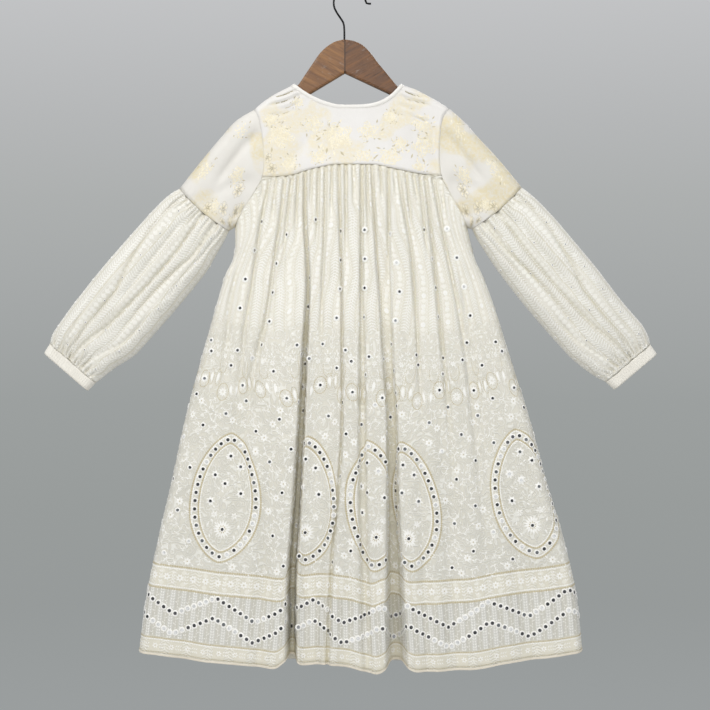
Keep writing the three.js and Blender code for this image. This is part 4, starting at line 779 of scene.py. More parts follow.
BIND = cloth("binding_satin", (.87, .85, .815), (.83, .805, .76), .5, .08, crinkle=.0003, painted_crease_shade=(.006, (.62, .50, .44), .6))
CUFF = cloth("cuff_cotton", (.87, .84, .77), (.82, .785, .71), .8, .05, painted_crease_shade=(.008, (.55, .50, .38), .5))
HEMLINE = cloth("hem_turning", (.80, .74, .63), (.72, .66, .55), .85, .05)
WHITE = thread("thread_white", (.96, .95, .92), (.90, .885, .84), sheen=.05)
BEIGE = thread("thread_beige", (.59, .52, .35), (.50, .43, .28), sheen=.05)
OLIVE = thread("thread_olive", (.42, .37, .23), (.30, .26, .155), sheen=.05)
GOLD = thread("thread_pale_gold", (.89, .83, .66), (.80, .72, .52), .42, .08)
# three copies of one mirror glass at different brightness: painted reflection, standing in for what each disc faces
MIRRORS = [mirror_glass("mirror_dark", (.16, .16, .17), .22), mirror_glass("mirror_grey", (.42, .43, .45), .16), mirror_glass("mirror_bright", (.90, .90, .90), .2, .25)]
THREADS = [WHITE, BEIGE, OLIVE, *MIRRORS]
for node, material in (("hanger_arm_left", wood("wood_left", (.31, .152, .056), (.118, .048, .018), -.50)),
                       ("hanger_arm_right", wood("wood_right", (.215, .096, .036), (.078, .032, .013), .50)), ("hanger_hook", wire("hook_wire"))):
    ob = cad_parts[node]
    ob.data.materials.clear()
    ob.data.materials.append(material)
    for poly in ob.data.polygons:
        poly.material_index = 0

# The dark line of glue between the hanger's two arms: a plate .2 thick with the arms' rounded section, cut out round the hook's stem.
LEVELS = ((17.65, 2.4), (18.2, 4.2), (19.5, 5.4), (21.2, 5.9), (47.6, 5.9), (68.1, 5.9), (69.9, 5.4), (71.2, 4.15), (71.65, 2.45))
plate = np.array([(y, z) for z, w in LEVELS for y in (-w, -1.95, 1.95, w)])
cells = [(4 * i + j, 4 * i + j + 1, 4 * i + j + 5, 4 * i + j + 4) for i in range(8) for j in range(3) if j != 1 or i < 4]
edges = [(c[k], c[(k + 1) % 4]) for c in cells for k in range(4)]
rim = [e for e in edges if e[::-1] not in edges]
mesh_from("hanger_glue_line", np.array([(x, y, z) for x in (-9.9, -9.7) for y, z in plate]),
          np.array([c[::-1] for c in cells] + [tuple(len(plate) + k for k in c) for c in cells] + [(a, b, len(plate) + b, len(plate) + a) for a, b in rim]),
          [wood("glue_line", (.05, .03, .02), (.03, .018, .012), 0.0)], smooth=False)


# ---------------------------------------------------------------- embroidery designs
def kinds(n, shift=0, dark=.66, grey=.26):
    """Which glass each mirror gets, in a fixed scatter: dark, grey and bright glass, whose base colours are painted
    reflection.
    """
    r = np.mod(np.sin((np.arange(n) + shift) * 12.9898) * 43758.5453, 1.0)
    return np.where(r < dark, 0, np.where(r < dark + grey, 1, 2))


def scatter(n, k):
    return np.mod(np.sin((np.arange(n) + k * 17.3) * 78.233 + k) * 9631.17, 1.0)


def striped(w, a0, a1, b0, b1, pitch=17.5, mirrors=True, odd=0, dots=False):
    """Lengthwise stripes: mirror chains by turns with ladders of leaves, parted by thin lines."""
    n = int((a1 - a0) / pitch)
    for k in range(n):
        a = a0 + (k + .5) * pitch
        w.path([(a + pitch / 2, b0), (a + pitch / 2, b1)], 5.0, .75, .4)
        if (k + odd) % 2:
            for off in (-1, 1):
                b = np.arange(b0, b1, 4.4)
                w.leaf(a + off * 2.1, b, np.pi / 2 - off * .62, 4.8, 1.7, .6)
            b = np.arange(b0 + 8, b1, 26.4)
            w.leaf(a + 5.2, b, np.pi / 2, 4.0, 1.5, .5)
            w.leaf(a - 5.2, b + 13, np.pi / 2, 4.0, 1.5, .5)
        else:
            at = np.arange(b0 + 12 + (k % 4) * 6, b1 - 6, 46.0)
            if mirrors and k % 6 < 2:
                low = at[at < 722]
                w.mirror(np.full(len(low), a), low, 2.4, 5.6, kinds(len(low), k * 7, .5, .35))
            elif mirrors:
                w.flower(a, at[0] if len(at) else b0, 4.6, 8, 0)
                for spot in at:
                    w.flower(a, spot, 4.8, 8, 0, k)
            elif dots:
                w.mirror(np.full(len(at), a), at, .9, 2.2, 0)
            for centre in at:
                t = np.linspace(-.25, 1.25, 9) * np.pi
                for f in (1, -1):
                    w.path(np.stack([a + np.cos(t) * 5.6, centre + f * (9.0 + np.sin(t) * 5.0)], -1), 3.4, 1.1, .5)
                w.flower(a, centre + 23, 4.2, 5, 0, k * .3)
                w.leaf([a - 2, a + 2], [centre + 30.5, centre + 30.5], [2.1, 1.05], 4.6, 1.8, .6)
            b = np.arange(b0, b1, 5.0)
            for off in (-6.4, 6.4):
                w.leaf(a + off, b, np.pi / 2, 3.0, 1.1, .45)


def medallion(w, a, b, k):
    """A pointed oval: two lines with a ring of mirrors between them, a vine and a large flower inside."""
    t = np.linspace(0, 2 * np.pi, 181)

    def oval(rx, rz):
        s, c = np.sin(t), np.cos(t)
        return np.stack([a + rx * np.sign(s) * np.abs(s) ** (1.30 if rz else 1) * (1 - .10 * c), b + rz * np.sign(c) * np.abs(c) ** .95], -1)

    for rx, rz, mat in ((60, 102, 1), (57.2, 99, 0), (46, 86, 1), (43.4, 83.2, 0)):
        w.path(oval(rx, rz), 3.6, 3.6 if mat else 2.4, .8, mat, 1.4)
    n = 35
    q = along_line(oval(52, 93), (np.arange(n) + .5) / n)
    w.mirror(q[:, 0], q[:, 1], 2.9, 5.0, kinds(n, k * 31, .58, .22))
    stem = np.linspace(-1, 1, 40)
    sx, sz = a + 13 * np.sin(stem * 3.1 + k), b + 8 + stem * 62
    w.path(np.stack([sx, sz], -1), 3.6, 1.1)
    for j in range(3, 38, 4):
        side = 1 if (j // 4) % 2 else -1
        for d in (0, 1):
            w.leaf(sx[j] + side * (6 + d * 6.5), sz[j] + 3 + d * 4, .55 if side > 0 else 2.6, 7.0, 2.6, .7)
        c = np.linspace(0, 4.4, 10)
        rad = 1.2 + c * 1.6
        w.path(np.stack([sx[j] + side * (17 + rad * np.cos(c)), sz[j] + rad * np.sin(c) * side], -1), 3.0, 1.0)
    for dx, dz in ((-22, 34), (20, 50), (24, 8), (-26, -8), (2, 66), (-4, 22)):
        w.mirror(a + dx, b + dz, 2.6, 4.8, kinds(1, int(k * 5 + dx))[0])
        w.flower(a + dx, b + dz, 8.0, 7, 0, dx)
    w.flower(a, b - 50, 16, 16, 0, 0, 3.4)
    w.flower(a, b - 50, 8.5, 10, 1, .2, 2.0)
    w.mirror(a, b - 50, 2.6, 4.6, 0)
    for dx in (-17, 17):
        w.flower(a + dx, b - 28, 6, 6, 0, dx)
        w.leaf([a + dx * 1.5, a + dx * 1.2], [b - 44, b - 62], [1.2, 1.9], 8, 3, .7)


def skirt_work(w, width, top, turn, centres=None):
    """The whole panel, hem to seam."""
    full = np.arange(0, width, 1.0)

    def line(b, mat, wide=1.5, pitch=3.8, high=.7):
        w.path(np.stack([full, b + .6 * np.sin(full / 57.0)], -1), pitch, wide, high, mat, 1.3)

    # narrow border along the hem
    line(4.5, 1, 1.0)
    line(27, 1, 2.6)
    line(24.2, 0, 2.2)
    for k in range(int(width / 13)):
        a = 6.5 + k * 13
        if k % 2:
            w.flower(a, 15, 5.0, 6, 0, k * .4)
            w.leaf(a, 15, 0, 1.8, 1.8, .9, 1)
        else:
            for off in (-3.6, 0, 3.6):
                w.leaf([a + off - 1.5, a + off - 1.5], [12.4, 17.6], [-.9, .9], 5.4, 1.6, .6)
    # border of upright leaf columns with two zig-zags of mirrors
    for k in range(int(width / 8.75)):
        a = 4.4 + k * 8.75
        if k % 2:
            b = np.arange(31, 105, 4.3)
            w.leaf(a - 1.9, b, np.pi / 2 + .6, 4.6, 1.7, .6)
            w.leaf(a + 1.9, b, np.pi / 2 - .6, 4.6, 1.7, .6)
        else:
            w.path([(a, 30), (a, 105)], 4.6, 1.2, .45)
            b = np.arange(36, 100, 17)
            w.leaf(a - 2.6, b, 2.4, 4, 1.5, .5)
            w.leaf(a + 2.6, b + 8, .7, 4, 1.5, .5)
    for row, (mid, shift) in enumerate(((85, 0), (53, 0))):
        a = np.arange(5 + row * 4, width - 4, 9.6)
        tri = np.abs(np.mod((a + turn + shift) / 131.0, 1.0) * 2 - 1) * 2 - 1
        run = np.mod(np.arange(len(a)) + row * 5, 23)
        kind = np.where(run < 8, 0, np.where(run < 14, 2, np.where(run < 19, 0, np.where(run < 21, 1, 2))))
        w.mirror(a, mid + tri * 17, 3.0, 5.4, kind)
    # band between two ruled lines
    for b, mat, wide in ((106, 1, 3.8), (109.6, 0, 2.6), (138.0, 0, 2.6), (141.6, 1, 3.8)):
        line(b, mat, wide)
    for k in range(int(width / 21)):
        a = 10 + k * 21
        w.flower(a, 125, 6.6, 7, 0, k * .7)
        w.leaf(a, 125, 0, 2.2, 2.2, 1.0, 1)
        for off in (-1, 1):
            w.leaf([a + 10.5 + off * 1.6] * 4, [117.5, 122.5, 127.5, 132.5], np.pi / 2 - off * .75, 5.2, 1.8, .65)
    # field of scrolls round the ovals
    ovals = centres or [a for a in np.arange(turn - 184, width + 60, 184.0)]
    for k, a in enumerate(ovals):
        medallion(w, a, 259.5, k)
    cells, count = [], 0
    for i, b in enumerate(np.arange(152, 412, 23.0)):
        for a in np.arange(6 + (i % 2) * 12.5, width, 25.0):
            near = min((abs(a - o) / 68.0) ** 1.9 + (abs(b - 259.5) / 111.0) ** 1.9 for o in ovals)
            if near > 1.0:
                cells.append((a, b, count))
            count += 1
    for a, b, c in cells:
        turn_to = 1 if c % 2 else -1
        if c % 3 == 0:
            w.flower(a, b, 6.8, 7, 0, c * .5, 3.6)
            w.leaf(a, b, 0, 2.4, 2.4, 1.0, 1)
            w.leaf([a - 9, a + 9], [b + 5, b - 5], [2.4, -.6], 6.5, 2.4, .65)
        else:
            t = np.linspace(0, 5.0, 14)
            rad = 1.2 + t * 1.75
            x, y = a + rad * np.cos(t + c) * turn_to, b + rad * np.sin(t + c)
            w.path(np.stack([x, y], -1), 3.3, 1.7, .6, 0, 1.2)
            for j in (5, 8, 11, 13):
                w.leaf(x[j] + 2.6 * np.cos(t[j] + c) * turn_to, y[j] + 2.6 * np.sin(t[j] + c), t[j] + c + 1, 5.6, 2.6, .7)
        if c % 4 == 1:
            w.mirror(a + 11, b + 9, 2.5, 4.6, kinds(1, c)[0])
    n = 1500
    w.leaf(scatter(n, 1) * width, 146 + scatter(n, 2) * 264, scatter(n, 3) * 3.14, 2.6, 1.0, .4)
    # a row of outlined flowers with paired drops between them
    for k in range(int(width / 42)):
        a = 21 + k * 42
        b = 433 + 9 * math.sin(k * 2.3)
        t = np.linspace(0, 2 * np.pi, 26)
        w.path(np.stack([a + 10.5 * np.cos(t), b + 13.5 * np.sin(t)], -1), 3.2, 1.6, .5, 1, 1.2)
        w.flower(a, b, 8.0, 9, 0, k * .3, 3.0)
        if k % 2:
            w.mirror(a, b, 2.4, 5.2, kinds(1, k * 3, .4, .4)[0])
        for side in (-1, 1):
            c = a + 21 + side * 6.0
            w.leaf([c, c + side * .8, c - side * .6], [b + 5, b + 3, b + 7], [np.pi / 2 - side * .20, np.pi / 2 - side * .34, np.pi / 2 - side * .05], [18, 15, 13], [4.6, 3.6, 3.6], .7)
            w.path(np.stack([c + side * 1.0 + 5.2 * np.cos(t), b + 5 + 12.5 * np.sin(t)], -1), 3.4, 1.1, .5, 1 if k % 2 else 0)
    # arches with mirrors and sprigs above the field
    for k in range(int(width / 35)):
        a = 17.5 + k * 35
        for side in (-1, 1):
            t = np.linspace(-.1, 1.1, 12) * np.pi
            c = a + side * 9
            w.path(np.stack([c + 8.6 * np.cos(t), 470 - 17 * np.sin(t)], -1), 3.3, 1.1, .55, 1 if (k + side) % 3 == 0 else 0)
            w.path(np.stack([c + 5.6 * np.cos(t), 471 - 12 * np.sin(t)], -1), 3.0, 1.0, .5)
            if (k * 2 + (side > 0)) % 3 == 0:
                w.mirror(c, 467 + 8 * ((k * 5) % 3), 2.4, 4.8, kinds(1, k * 3 + side)[0])
            w.flower(c, 480, 5.0, 6, 0, k)
            w.leaf([c - 4, c + 4, c], [490, 490, 494], [2.3, .85, 1.57], 6.4, 2.2, .6)
        if k % 2:
            w.mirror(a, 492 + 7 * (k % 3), 2.4, 4.8, kinds(1, k * 11)[0])
        t = np.linspace(0, 2 * np.pi, 20)
        w.path(np.stack([a + 8 * np.cos(t), 492 + 10 * np.sin(t)], -1), 3.2, 1.1)
        for j in range(5):
            w.leaf([a + 17.5 - 3, a + 17.5 + 3], [452 + j * 16, 452 + j * 16], [2.2, .95], 5.6, 2.0, .6)
        w.path([(a + 17.5, 450), (a + 17.5, 530)], 4.2, 1.3, .5)
        w.leaf([a - 5, a + 5, a - 5, a + 5], [510, 510, 520, 520], [2.4, .75, 2.4, .75], 6.0, 2.0, .6)
    # stripes up to the seam
    striped(w, 0, width, 534, top)


def spray(w, a, b, size, turn, gold=1, kind=0):
    """A generic open flower head in crinkled satin stitch, with leaves and a curl beside it."""
    for ringed, f in enumerate((.14, .30, .46, .62, .78, .94)):
        n = max(5, int(np.pi * f * size / 3.6))
        j = np.arange(n)
        k = turn + ringed * .7 + j * 2 * np.pi / n
        edge = size * .5 * (.80 + .20 * np.cos(k * 5 + turn * 3))
        jit = np.sin(j * 7.31 + ringed * 3.1 + turn * 11)
        r = edge * f + jit * .8
        w.leaf(a + np.cos(k) * r, b + np.sin(k) * r * .88, k + jit * .75 + (.9 if ringed % 2 else 0), size * .085 + 2.0, 1.9, .42 + .12 * jit, 0)
    k = turn + np.array([.4, 1.9, 3.3, 4.6])
    w.leaf(a + np.cos(k) * size * .47, b + np.sin(k) * size * .42, k + 1.2, size * .05 + 1.4, 1.3, .4, [1, 2, 1, 1])
    out = turn + .9
    ca, cb = a + np.cos(out) * size * .55, b + np.sin(out) * size * .48
    t = np.linspace(0, 4.4, 16)
    rad = size * (.05 + t * .045)
    x, y = ca + rad * np.cos(t + out), cb + rad * np.sin(t + out)
    w.path(np.stack([x, y], -1), 2.6, .8, .35, 1)
    for j in range(3, 16, 3):
        w.leaf(x[j] + size * .05, y[j], t[j] + out + 1.0, size * .13, size * .05, .4, 0 if j % 2 else 1)
    for j in range(5):
        k = turn + 2.2 + j * .40
        w.leaf(a + np.cos(k) * size * .62, b + np.sin(k) * size * .55, k + .5, size * .20, size * .07, .4, 0 if j % 2 else gold)


def rosette(w, a, b, size):
    """Small outlined flower, close to the armpits."""
    for r, petals, mat in ((size, 6, 1), (size * .55, 5, 1)):
        for k in range(petals):
            c = k * 2 * np.pi / petals + r
            t = np.linspace(0, 2 * np.pi, 12)
            w.path(np.stack([a + np.cos(c) * r * .6 + np.cos(t) * r * .36, b + np.sin(c) * r * .6 + np.sin(t) * r * .36], -1), 2.4, .9, .4, mat)
            w.leaf(a + np.cos(c) * r * .6, b + np.sin(c) * r * .6, c, r * .5, r * .28, .45, 0)
    w.flower(a, b, size * .4, 6, 2, .3, 1.2)


# ---------------------------------------------------------------- skirt
ROWS = 131
FLAT = {"back": 960.0, "front": 860.0}
COLUMNS = {"back": 331, "front": 251}
table = {"back": CREASES_BACK + gathers(GATHERS_BACK), "front": CREASES_FRONT + gathers(GATHERS_FRONT)}
made = {}
for face in ("back", "front"):
    grid = skirt_grid(face, table[face], FLAT[face], ROWS, COLUMNS[face])
    b = grid[:, :, 2] - grid[-1:, :, 2]
    a_step = FLAT[face] / (COLUMNS[face] - 1)
    uv = np.stack([np.repeat((np.arange(COLUMNS[face]) * a_step)[None], ROWS, 0), b], -1)
    name = "skirt_panel_" + face
    ob = mesh_from(name, grid, grid_faces(ROWS, COLUMNS[face]), [SKIRT], uvs=uv, outward=np.broadcast_to([0, FACE[face], 0], grid.shape))
    thicken(ob, .9)
    sheet = Sheet(grid, a_step, b, 1.0 if face == "front" else 1.0)
    outward = np.nanmean(sheet.n[..., 1]) * FACE[face]
    sheet.n *= 1.0 if outward > 0 else -1.0
    w = Work(sheet)
    skirt_work(w, FLAT[face], 815, 126.0 if face == "back" else 74.0, [133, 388, 537, 673, 883] if face == "back" else None)
    stitches = w.build("skirt_embroidery_" + face, THREADS)
    # turned hem, a narrow doubled strip
    levels = np.array([-.5, .6, 1.8, 2.8])
    aa = np.repeat((np.arange(COLUMNS[face]) * a_step)[None], 4, 0)
    high = np.array([.1, .5, .45, .05])
    base = sheet.read(sheet.m, aa, np.repeat(np.maximum(levels, 0)[:, None], COLUMNS[face], 1))
    lift = unit(sheet.read(sheet.n, aa, np.repeat(np.full(4, 6.0)[:, None], COLUMNS[face], 1)))
    strip = base + lift * high[:, None, None]
    strip[0, :, 2] -= .6
    good = ~np.isnan(strip).any(axis=(0, 2))
    strip = strip[:, good]
    hem = mesh_from("hem_turning_" + face, strip, grid_faces(4, strip.shape[1]), [HEMLINE], outward=np.broadcast_to([0, FACE[face], 0], strip.shape), uvs=np.stack([aa[:, good], np.repeat(levels[:, None], good.sum(), 1)], -1))
    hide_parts("skirt_" + face)
    made[face] = sheet


# ---------------------------------------------------------------- yokes
TUCKS = [((-126, -22), (-88, -9), 4.2, 1.8), ((-128, -33), (-82, -18), 3.8, 1.7), ((-112, -40), (-84, -30), 2.2, 1.5), ((-128, -50), (-90, -41), 2.2, 2.0), ((-116, -12), (-92, -4), 2.0, 1.5),
         ((82, -10), (116, -21), 3.2, 1.6), ((80, -20), (122, -31), 4.0, 1.7), ((78, -34), (104, -40), 2.2, 1.6), ((92, -50), (124, -60), 2.8, 2.0), ((66, -44), (84, -49), 2.0, 1.6),
         ((-55, -74), (-98, -132), 1.4, 9.0), ((-10, -60), (-52, -124), .9, 12.0), ((96, -70), (120, -132), 1.3, 8.0), ((46, -62), (66, -120), .9, 11.0),
         ((-128, -70), (-134, -140), 1.2, 5.0), ((130, -66), (136, -138), 1.2, 5.0)]


def tuck_sum(x, z, face):
    total = np.zeros_like(x)
    for (x0, z0), (x1, z1), deep, wide in TUCKS:
        if face == "front":
            x0, x1 = -x0 * .96, -x1 * .96
        dx, dz = x1 - x0, z1 - z0
        length = math.hypot(dx, dz)
        t = ((x - x0) * dx + (z - z0) * dz) / length / length
        off = ((x - x0) * -dz + (z - z0) * dx) / length + 2.2 * np.sin(t * 3.0)
        total += deep * np.exp(-(off / wide) ** 2) * step((t + .15) / .3) * step((1.15 - t) / .3)
    return total


def yoke_reach(face, x, z):
    seam = seam_z(face, np.clip(x, -141, 144))
    near = step((shoulder_z(x) - z) / 16) * step((width_at(x, z) - np.abs(x)) / 9)
    press = 1.0 * np.exp(-((z - seam) / 2.2) ** 2)
    soft = .5 * np.sin(x / 23.0 + z / 31.0) * np.sin(z / 27.0 - x / 41.0)
    return half_depth(x, z) - (tuck_sum(x, z, face) * .9 - soft) * near - press * .5


def neck_at(face, t, out):
    depth, pl, pr = NECK[face]
    half = NECK_HALF + out
    power = pl + (pr - pl) * np.clip((t + .35) / .7, 0, 1)
    x = NECK_CENTRE + t * half
    end = shoulder_z(NECK_CENTRE + np.where(t < 0, -1.0, 1.0) * half)
    z = -(depth + out) + (end + depth + out) * np.abs(t) ** power
    return x, z


def neck_steps(n):
    k = np.linspace(-1, 1, n)
    return np.sin(k * np.pi / 2) * .35 + k * .65


def yoke_grid(face, rows, neck_n, slit):
    out = BINDING - .3
    t = neck_steps(neck_n)
    nx, nz = neck_at(face, t, out)
    if slit:
        j = int(np.argmin(np.abs(nx)))
        lo, hi = j - (nx[j] > 0), j - (nx[j] > 0) + 1
        for idx, x in ((lo, -1.4), (hi, 1.4)):
            t[idx] = (x - NECK_CENTRE) / (NECK_HALF + out)
        nx, nz = neck_at(face, t, out)
    n = 15
    lx = np.linspace(-155.2, nx[0], n)[:-1]
    rx = np.linspace(nx[-1], 157.8, n)[1:]
    top = np.concatenate([np.stack([lx, np.where(lx < -155.1, -40.6, shoulder_z(lx))], -1), np.stack([nx, nz], -1),
                          np.stack([rx, np.where(rx > 157.7, -39.4, shoulder_z(rx))], -1)])
    v = np.linspace(0, 1, rows) ** 1.5
    left = along_line(ARM_LINE["left"], v * ARM_CORNER["left"])
    right = along_line(ARM_LINE["right"], v * ARM_CORNER["right"])
    share = (top[:, 0] - top[0, 0]) / (top[-1, 0] - top[0, 0])
    bx = left[-1, 0] + (right[-1, 0] - left[-1, 0]) * share
    if slit:
        for idx, x in ((lo + n - 1, -1.4), (hi + n - 1, 1.4)):
            bx[idx] = x
    bottom = np.stack([bx, seam_z(face, bx)], -1)
    u = (bx - bx[0]) / (bx[-1] - bx[0])
    grid = np.zeros((rows, len(top), 3))
    for i, vi in enumerate(v):
        p = (top * (1 - vi) + bottom * vi + left[i] * (1 - u)[:, None] + right[i] * u[:, None]
             - ((top[0] * (1 - u)[:, None] + top[-1] * u[:, None]) * (1 - vi) + (bottom[0] * (1 - u)[:, None] + bottom[-1] * u[:, None]) * vi))
        x, z = p[:, 0], p[:, 1]
        if slit:
            for idx, px in ((lo + n - 1, -1.4), (hi + n - 1, 1.4)):
                x[idx] = px * (1 - .8 * step((-z[idx] - 120) / 24))
        reach = yoke_reach(face, x, z)
        if i == 0:
            reach[:n] = reach[-n:] = .15
        grid[i] = np.stack([x, FACE[face] * reach, z], -1)
    # the lower edge turns in behind the gathers
    turned = grid[-1:].copy()
    turned[..., 1] *= 1 - np.minimum(3.2, np.abs(turned[..., 1]) * .5) / np.maximum(np.abs(turned[..., 1]), .1)
    grid = np.concatenate([grid[:-1], grid[-1:] + np.array([0, 0, .3]), turned + np.array([0, 0, -.2])])
    return grid, (lo + n - 1 if slit else None)


def flat_map(face, low, high, reach, inside):
    """A map in plain (x, z) places, for stitches on a panel that is nearly flat."""
    xs, zs = np.arange(low[0], high[0] + 2, 2.0), np.arange(low[1], high[1] + 2, 2.0)
    x, z = np.meshgrid(xs, zs)
    p = np.stack([x, FACE[face] * reach(x, z), z], -1)
    s = Sheet(p, 2.0, zs - zs[0], 1.0, 2.0)
    s.n *= 1.0 if np.nanmean(s.n[..., 1]) * FACE[face] > 0 else -1.0
    bad = ~inside(x, z)
    s.m = s.m.copy()
    s.m[:len(zs)][bad] = np.nan
    s.origin = (low[0], low[1])
    return s


SPRAYS_BACK = [(-112, -84, 46, .4), (-60, -66, 34, 2.0), (-20, -84, 52, 1.1), (28, -76, 36, 3.4), (62, -118, 40, .2), (20, -118, 34, 2.6), (-52, -118, 30, 4.0),
               (78, -96, 26, 1.6), (112, -62, 34, 2.9), (116, -100, 42, .9), (-98, -128, 28, 5.0), (-128, -58, 24, 3.0), (62, -54, 24, 4.4), (-84, -30, 20, 1.0), (108, -134, 24, 3.6)]
SPRAYS_FRONT = [(-108, -76, 44, 1.4), (-64, -104, 40, 3.0), (-24, -124, 34, .6), (30, -118, 38, 2.2), (74, -92, 44, 4.0), (116, -66, 38, 1.0), (112, -122, 32, 2.8), (-112, -126, 34, .2), (-84, -60, 26, 3.5)]
yoke_made = []
for face in ("back", "front"):
    grid, cut = yoke_grid(face, 41, 73 if face == "back" else 61, face == "front")
    rows, columns = grid.shape[:2]
    faces = grid_faces(rows, columns)
    if cut is not None:
        mid = grid[:, cut, 2]
        ii, jj = np.divmod(faces.min(axis=1), columns)
        faces = faces[~((jj == cut) & (mid[np.minimum(ii + 1, rows - 1)] > -142))]
    uv = np.stack([grid[..., 0] + 200, grid[..., 2] + 200], -1)
    ob = mesh_from("yoke_panel_" + face, grid, faces, [YOKE], uvs=uv, outward=np.broadcast_to([0, FACE[face], 0], grid.shape))
    thicken(ob, .8)

    def inside(x, z, face=face):
        depth, _, _ = NECK[face]
        t = (x - NECK_CENTRE) / (NECK_HALF + 8)
        _, nz = neck_at(face, np.clip(t, -1, 1), 8)
        top = np.where(np.abs(t) < 1, nz, shoulder_z(x) - 4)
        slit = (np.abs(x) > 5) | (z < -146) if face == "front" else np.ones_like(x, bool)
        return (z < top) & (z > seam_z(face, np.clip(x, -141, 144)) + 2) & (np.abs(x) < half_width("left", z) - 2.5) & slit

    s = flat_map(face, (-160, -152), (160, 20), lambda x, z, face=face: yoke_reach(face, x, z), inside)
    w = Work(s)
    for x, z, size, turn in (SPRAYS_BACK if face == "back" else SPRAYS_FRONT):
        spray(w, x + 160, z + 152, size, turn)
    for x, z in (((-134, -118), (-126, -136)) if face == "back" else ((130, -120),)):
        rosette(w, x + 160, z + 152, 9)
    # olive and beige stitch lines along the first ten tucks: painted shade standing in for the tucks' shadows
    for (x0, z0), (x1, z1), deep, wide in TUCKS[:10]:
        f = -.96 if face == "front" else 1.0
        share = np.linspace(.12, .88, 13)[:, None]
        line = np.array([[x0 * f + 160, z0 + 152]]) * (1 - share) + np.array([[x1 * f + 160, z1 + 152]]) * share
        line[:, 1] -= (2.2 * np.sin(share[:, 0] * 3.0)) * (1 if f > 0 else 1)
        w.path(line, 2.6, 2.3 if deep > 2.9 else 1.5, .34, 2 if deep > 2.9 else 1, 1.35)
    # stitched line just above the yoke seam
    xs = np.arange(-139, 142, 2.0)
    w.path(np.stack([xs + 160, seam_z(face, xs) + 3.2 + 152], -1), 3.0, .7, .25, 0)
    stitches = w.build("yoke_embroidery_" + face, [GOLD, BEIGE, OLIVE, *MIRRORS])
    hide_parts("yoke_" + face)
    yoke_made.append((face, ob, stitches))
for face, ob, stitches in yoke_made:
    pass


# ---------------------------------------------------------------- neck binding
def binding():
    """Bias strip round the neck, open at the slit: a flat strip that rolls over the edge."""
    t = neck_steps(91)
    centre = (0 - NECK_CENTRE) / NECK_HALF
    front_r = t[t > centre + .03]
    front_l = t[t < centre - .03]
    path = [("front", k) for k in np.concatenate([[centre + .017], front_r[:-1]])]
    path += [("back", k) for k in t[::-1]]
    path += [("front", k) for k in np.concatenate([front_l[1:], [centre - .017]])]
    section = [(.9, -1.6), (0, -1.2), (-.6, -.2), (-.35, .9), (.9, 1.35), (2.9, 1.3), (4.9, 1.0), (BINDING + .3, .15)]
    grid = np.zeros((len(section), len(path), 3))
    for j, (face, k) in enumerate(path):
        for i, (out, high) in enumerate(section):
            x, z = neck_at(face, np.array(k), max(out, 0))
            if out < 0:
                z = z - out * np.sign(1 - abs(k)) * .8
            if abs(k) >= .999:
                grid[i, j] = (float(x), 0.0, float(z) + high)
                continue
            y = float(half_depth(np.array(x), np.array(z)))
            e = .4
            gx = (float(half_depth(np.array(x + e), np.array(z))) - float(half_depth(np.array(x - e), np.array(z)))) / (2 * e)
            gz = (float(half_depth(np.array(x), np.array(z + e))) - float(half_depth(np.array(x), np.array(z - e)))) / (2 * e)
            n = unit(np.array([-np.clip(gx, -3, 3), 1.0, -np.clip(gz, -3, 3)]))
            grid[i, j] = (float(x) + n[0] * high, FACE[face] * (y + n[1] * high), float(z) + n[2] * high)
    run = run_of(grid[4])
    uv = np.stack([np.repeat(run[None], len(section), 0), np.repeat(np.array(column(section, 0))[:, None] * 1.0, len(path), 1)], -1)
    ob = mesh_from("neck_binding_strip", grid, grid_faces(len(section), len(path)), [BIND], uvs=uv)
    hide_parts("neck_binding")
    return ob, run[-1]


bind, bind_long = binding()


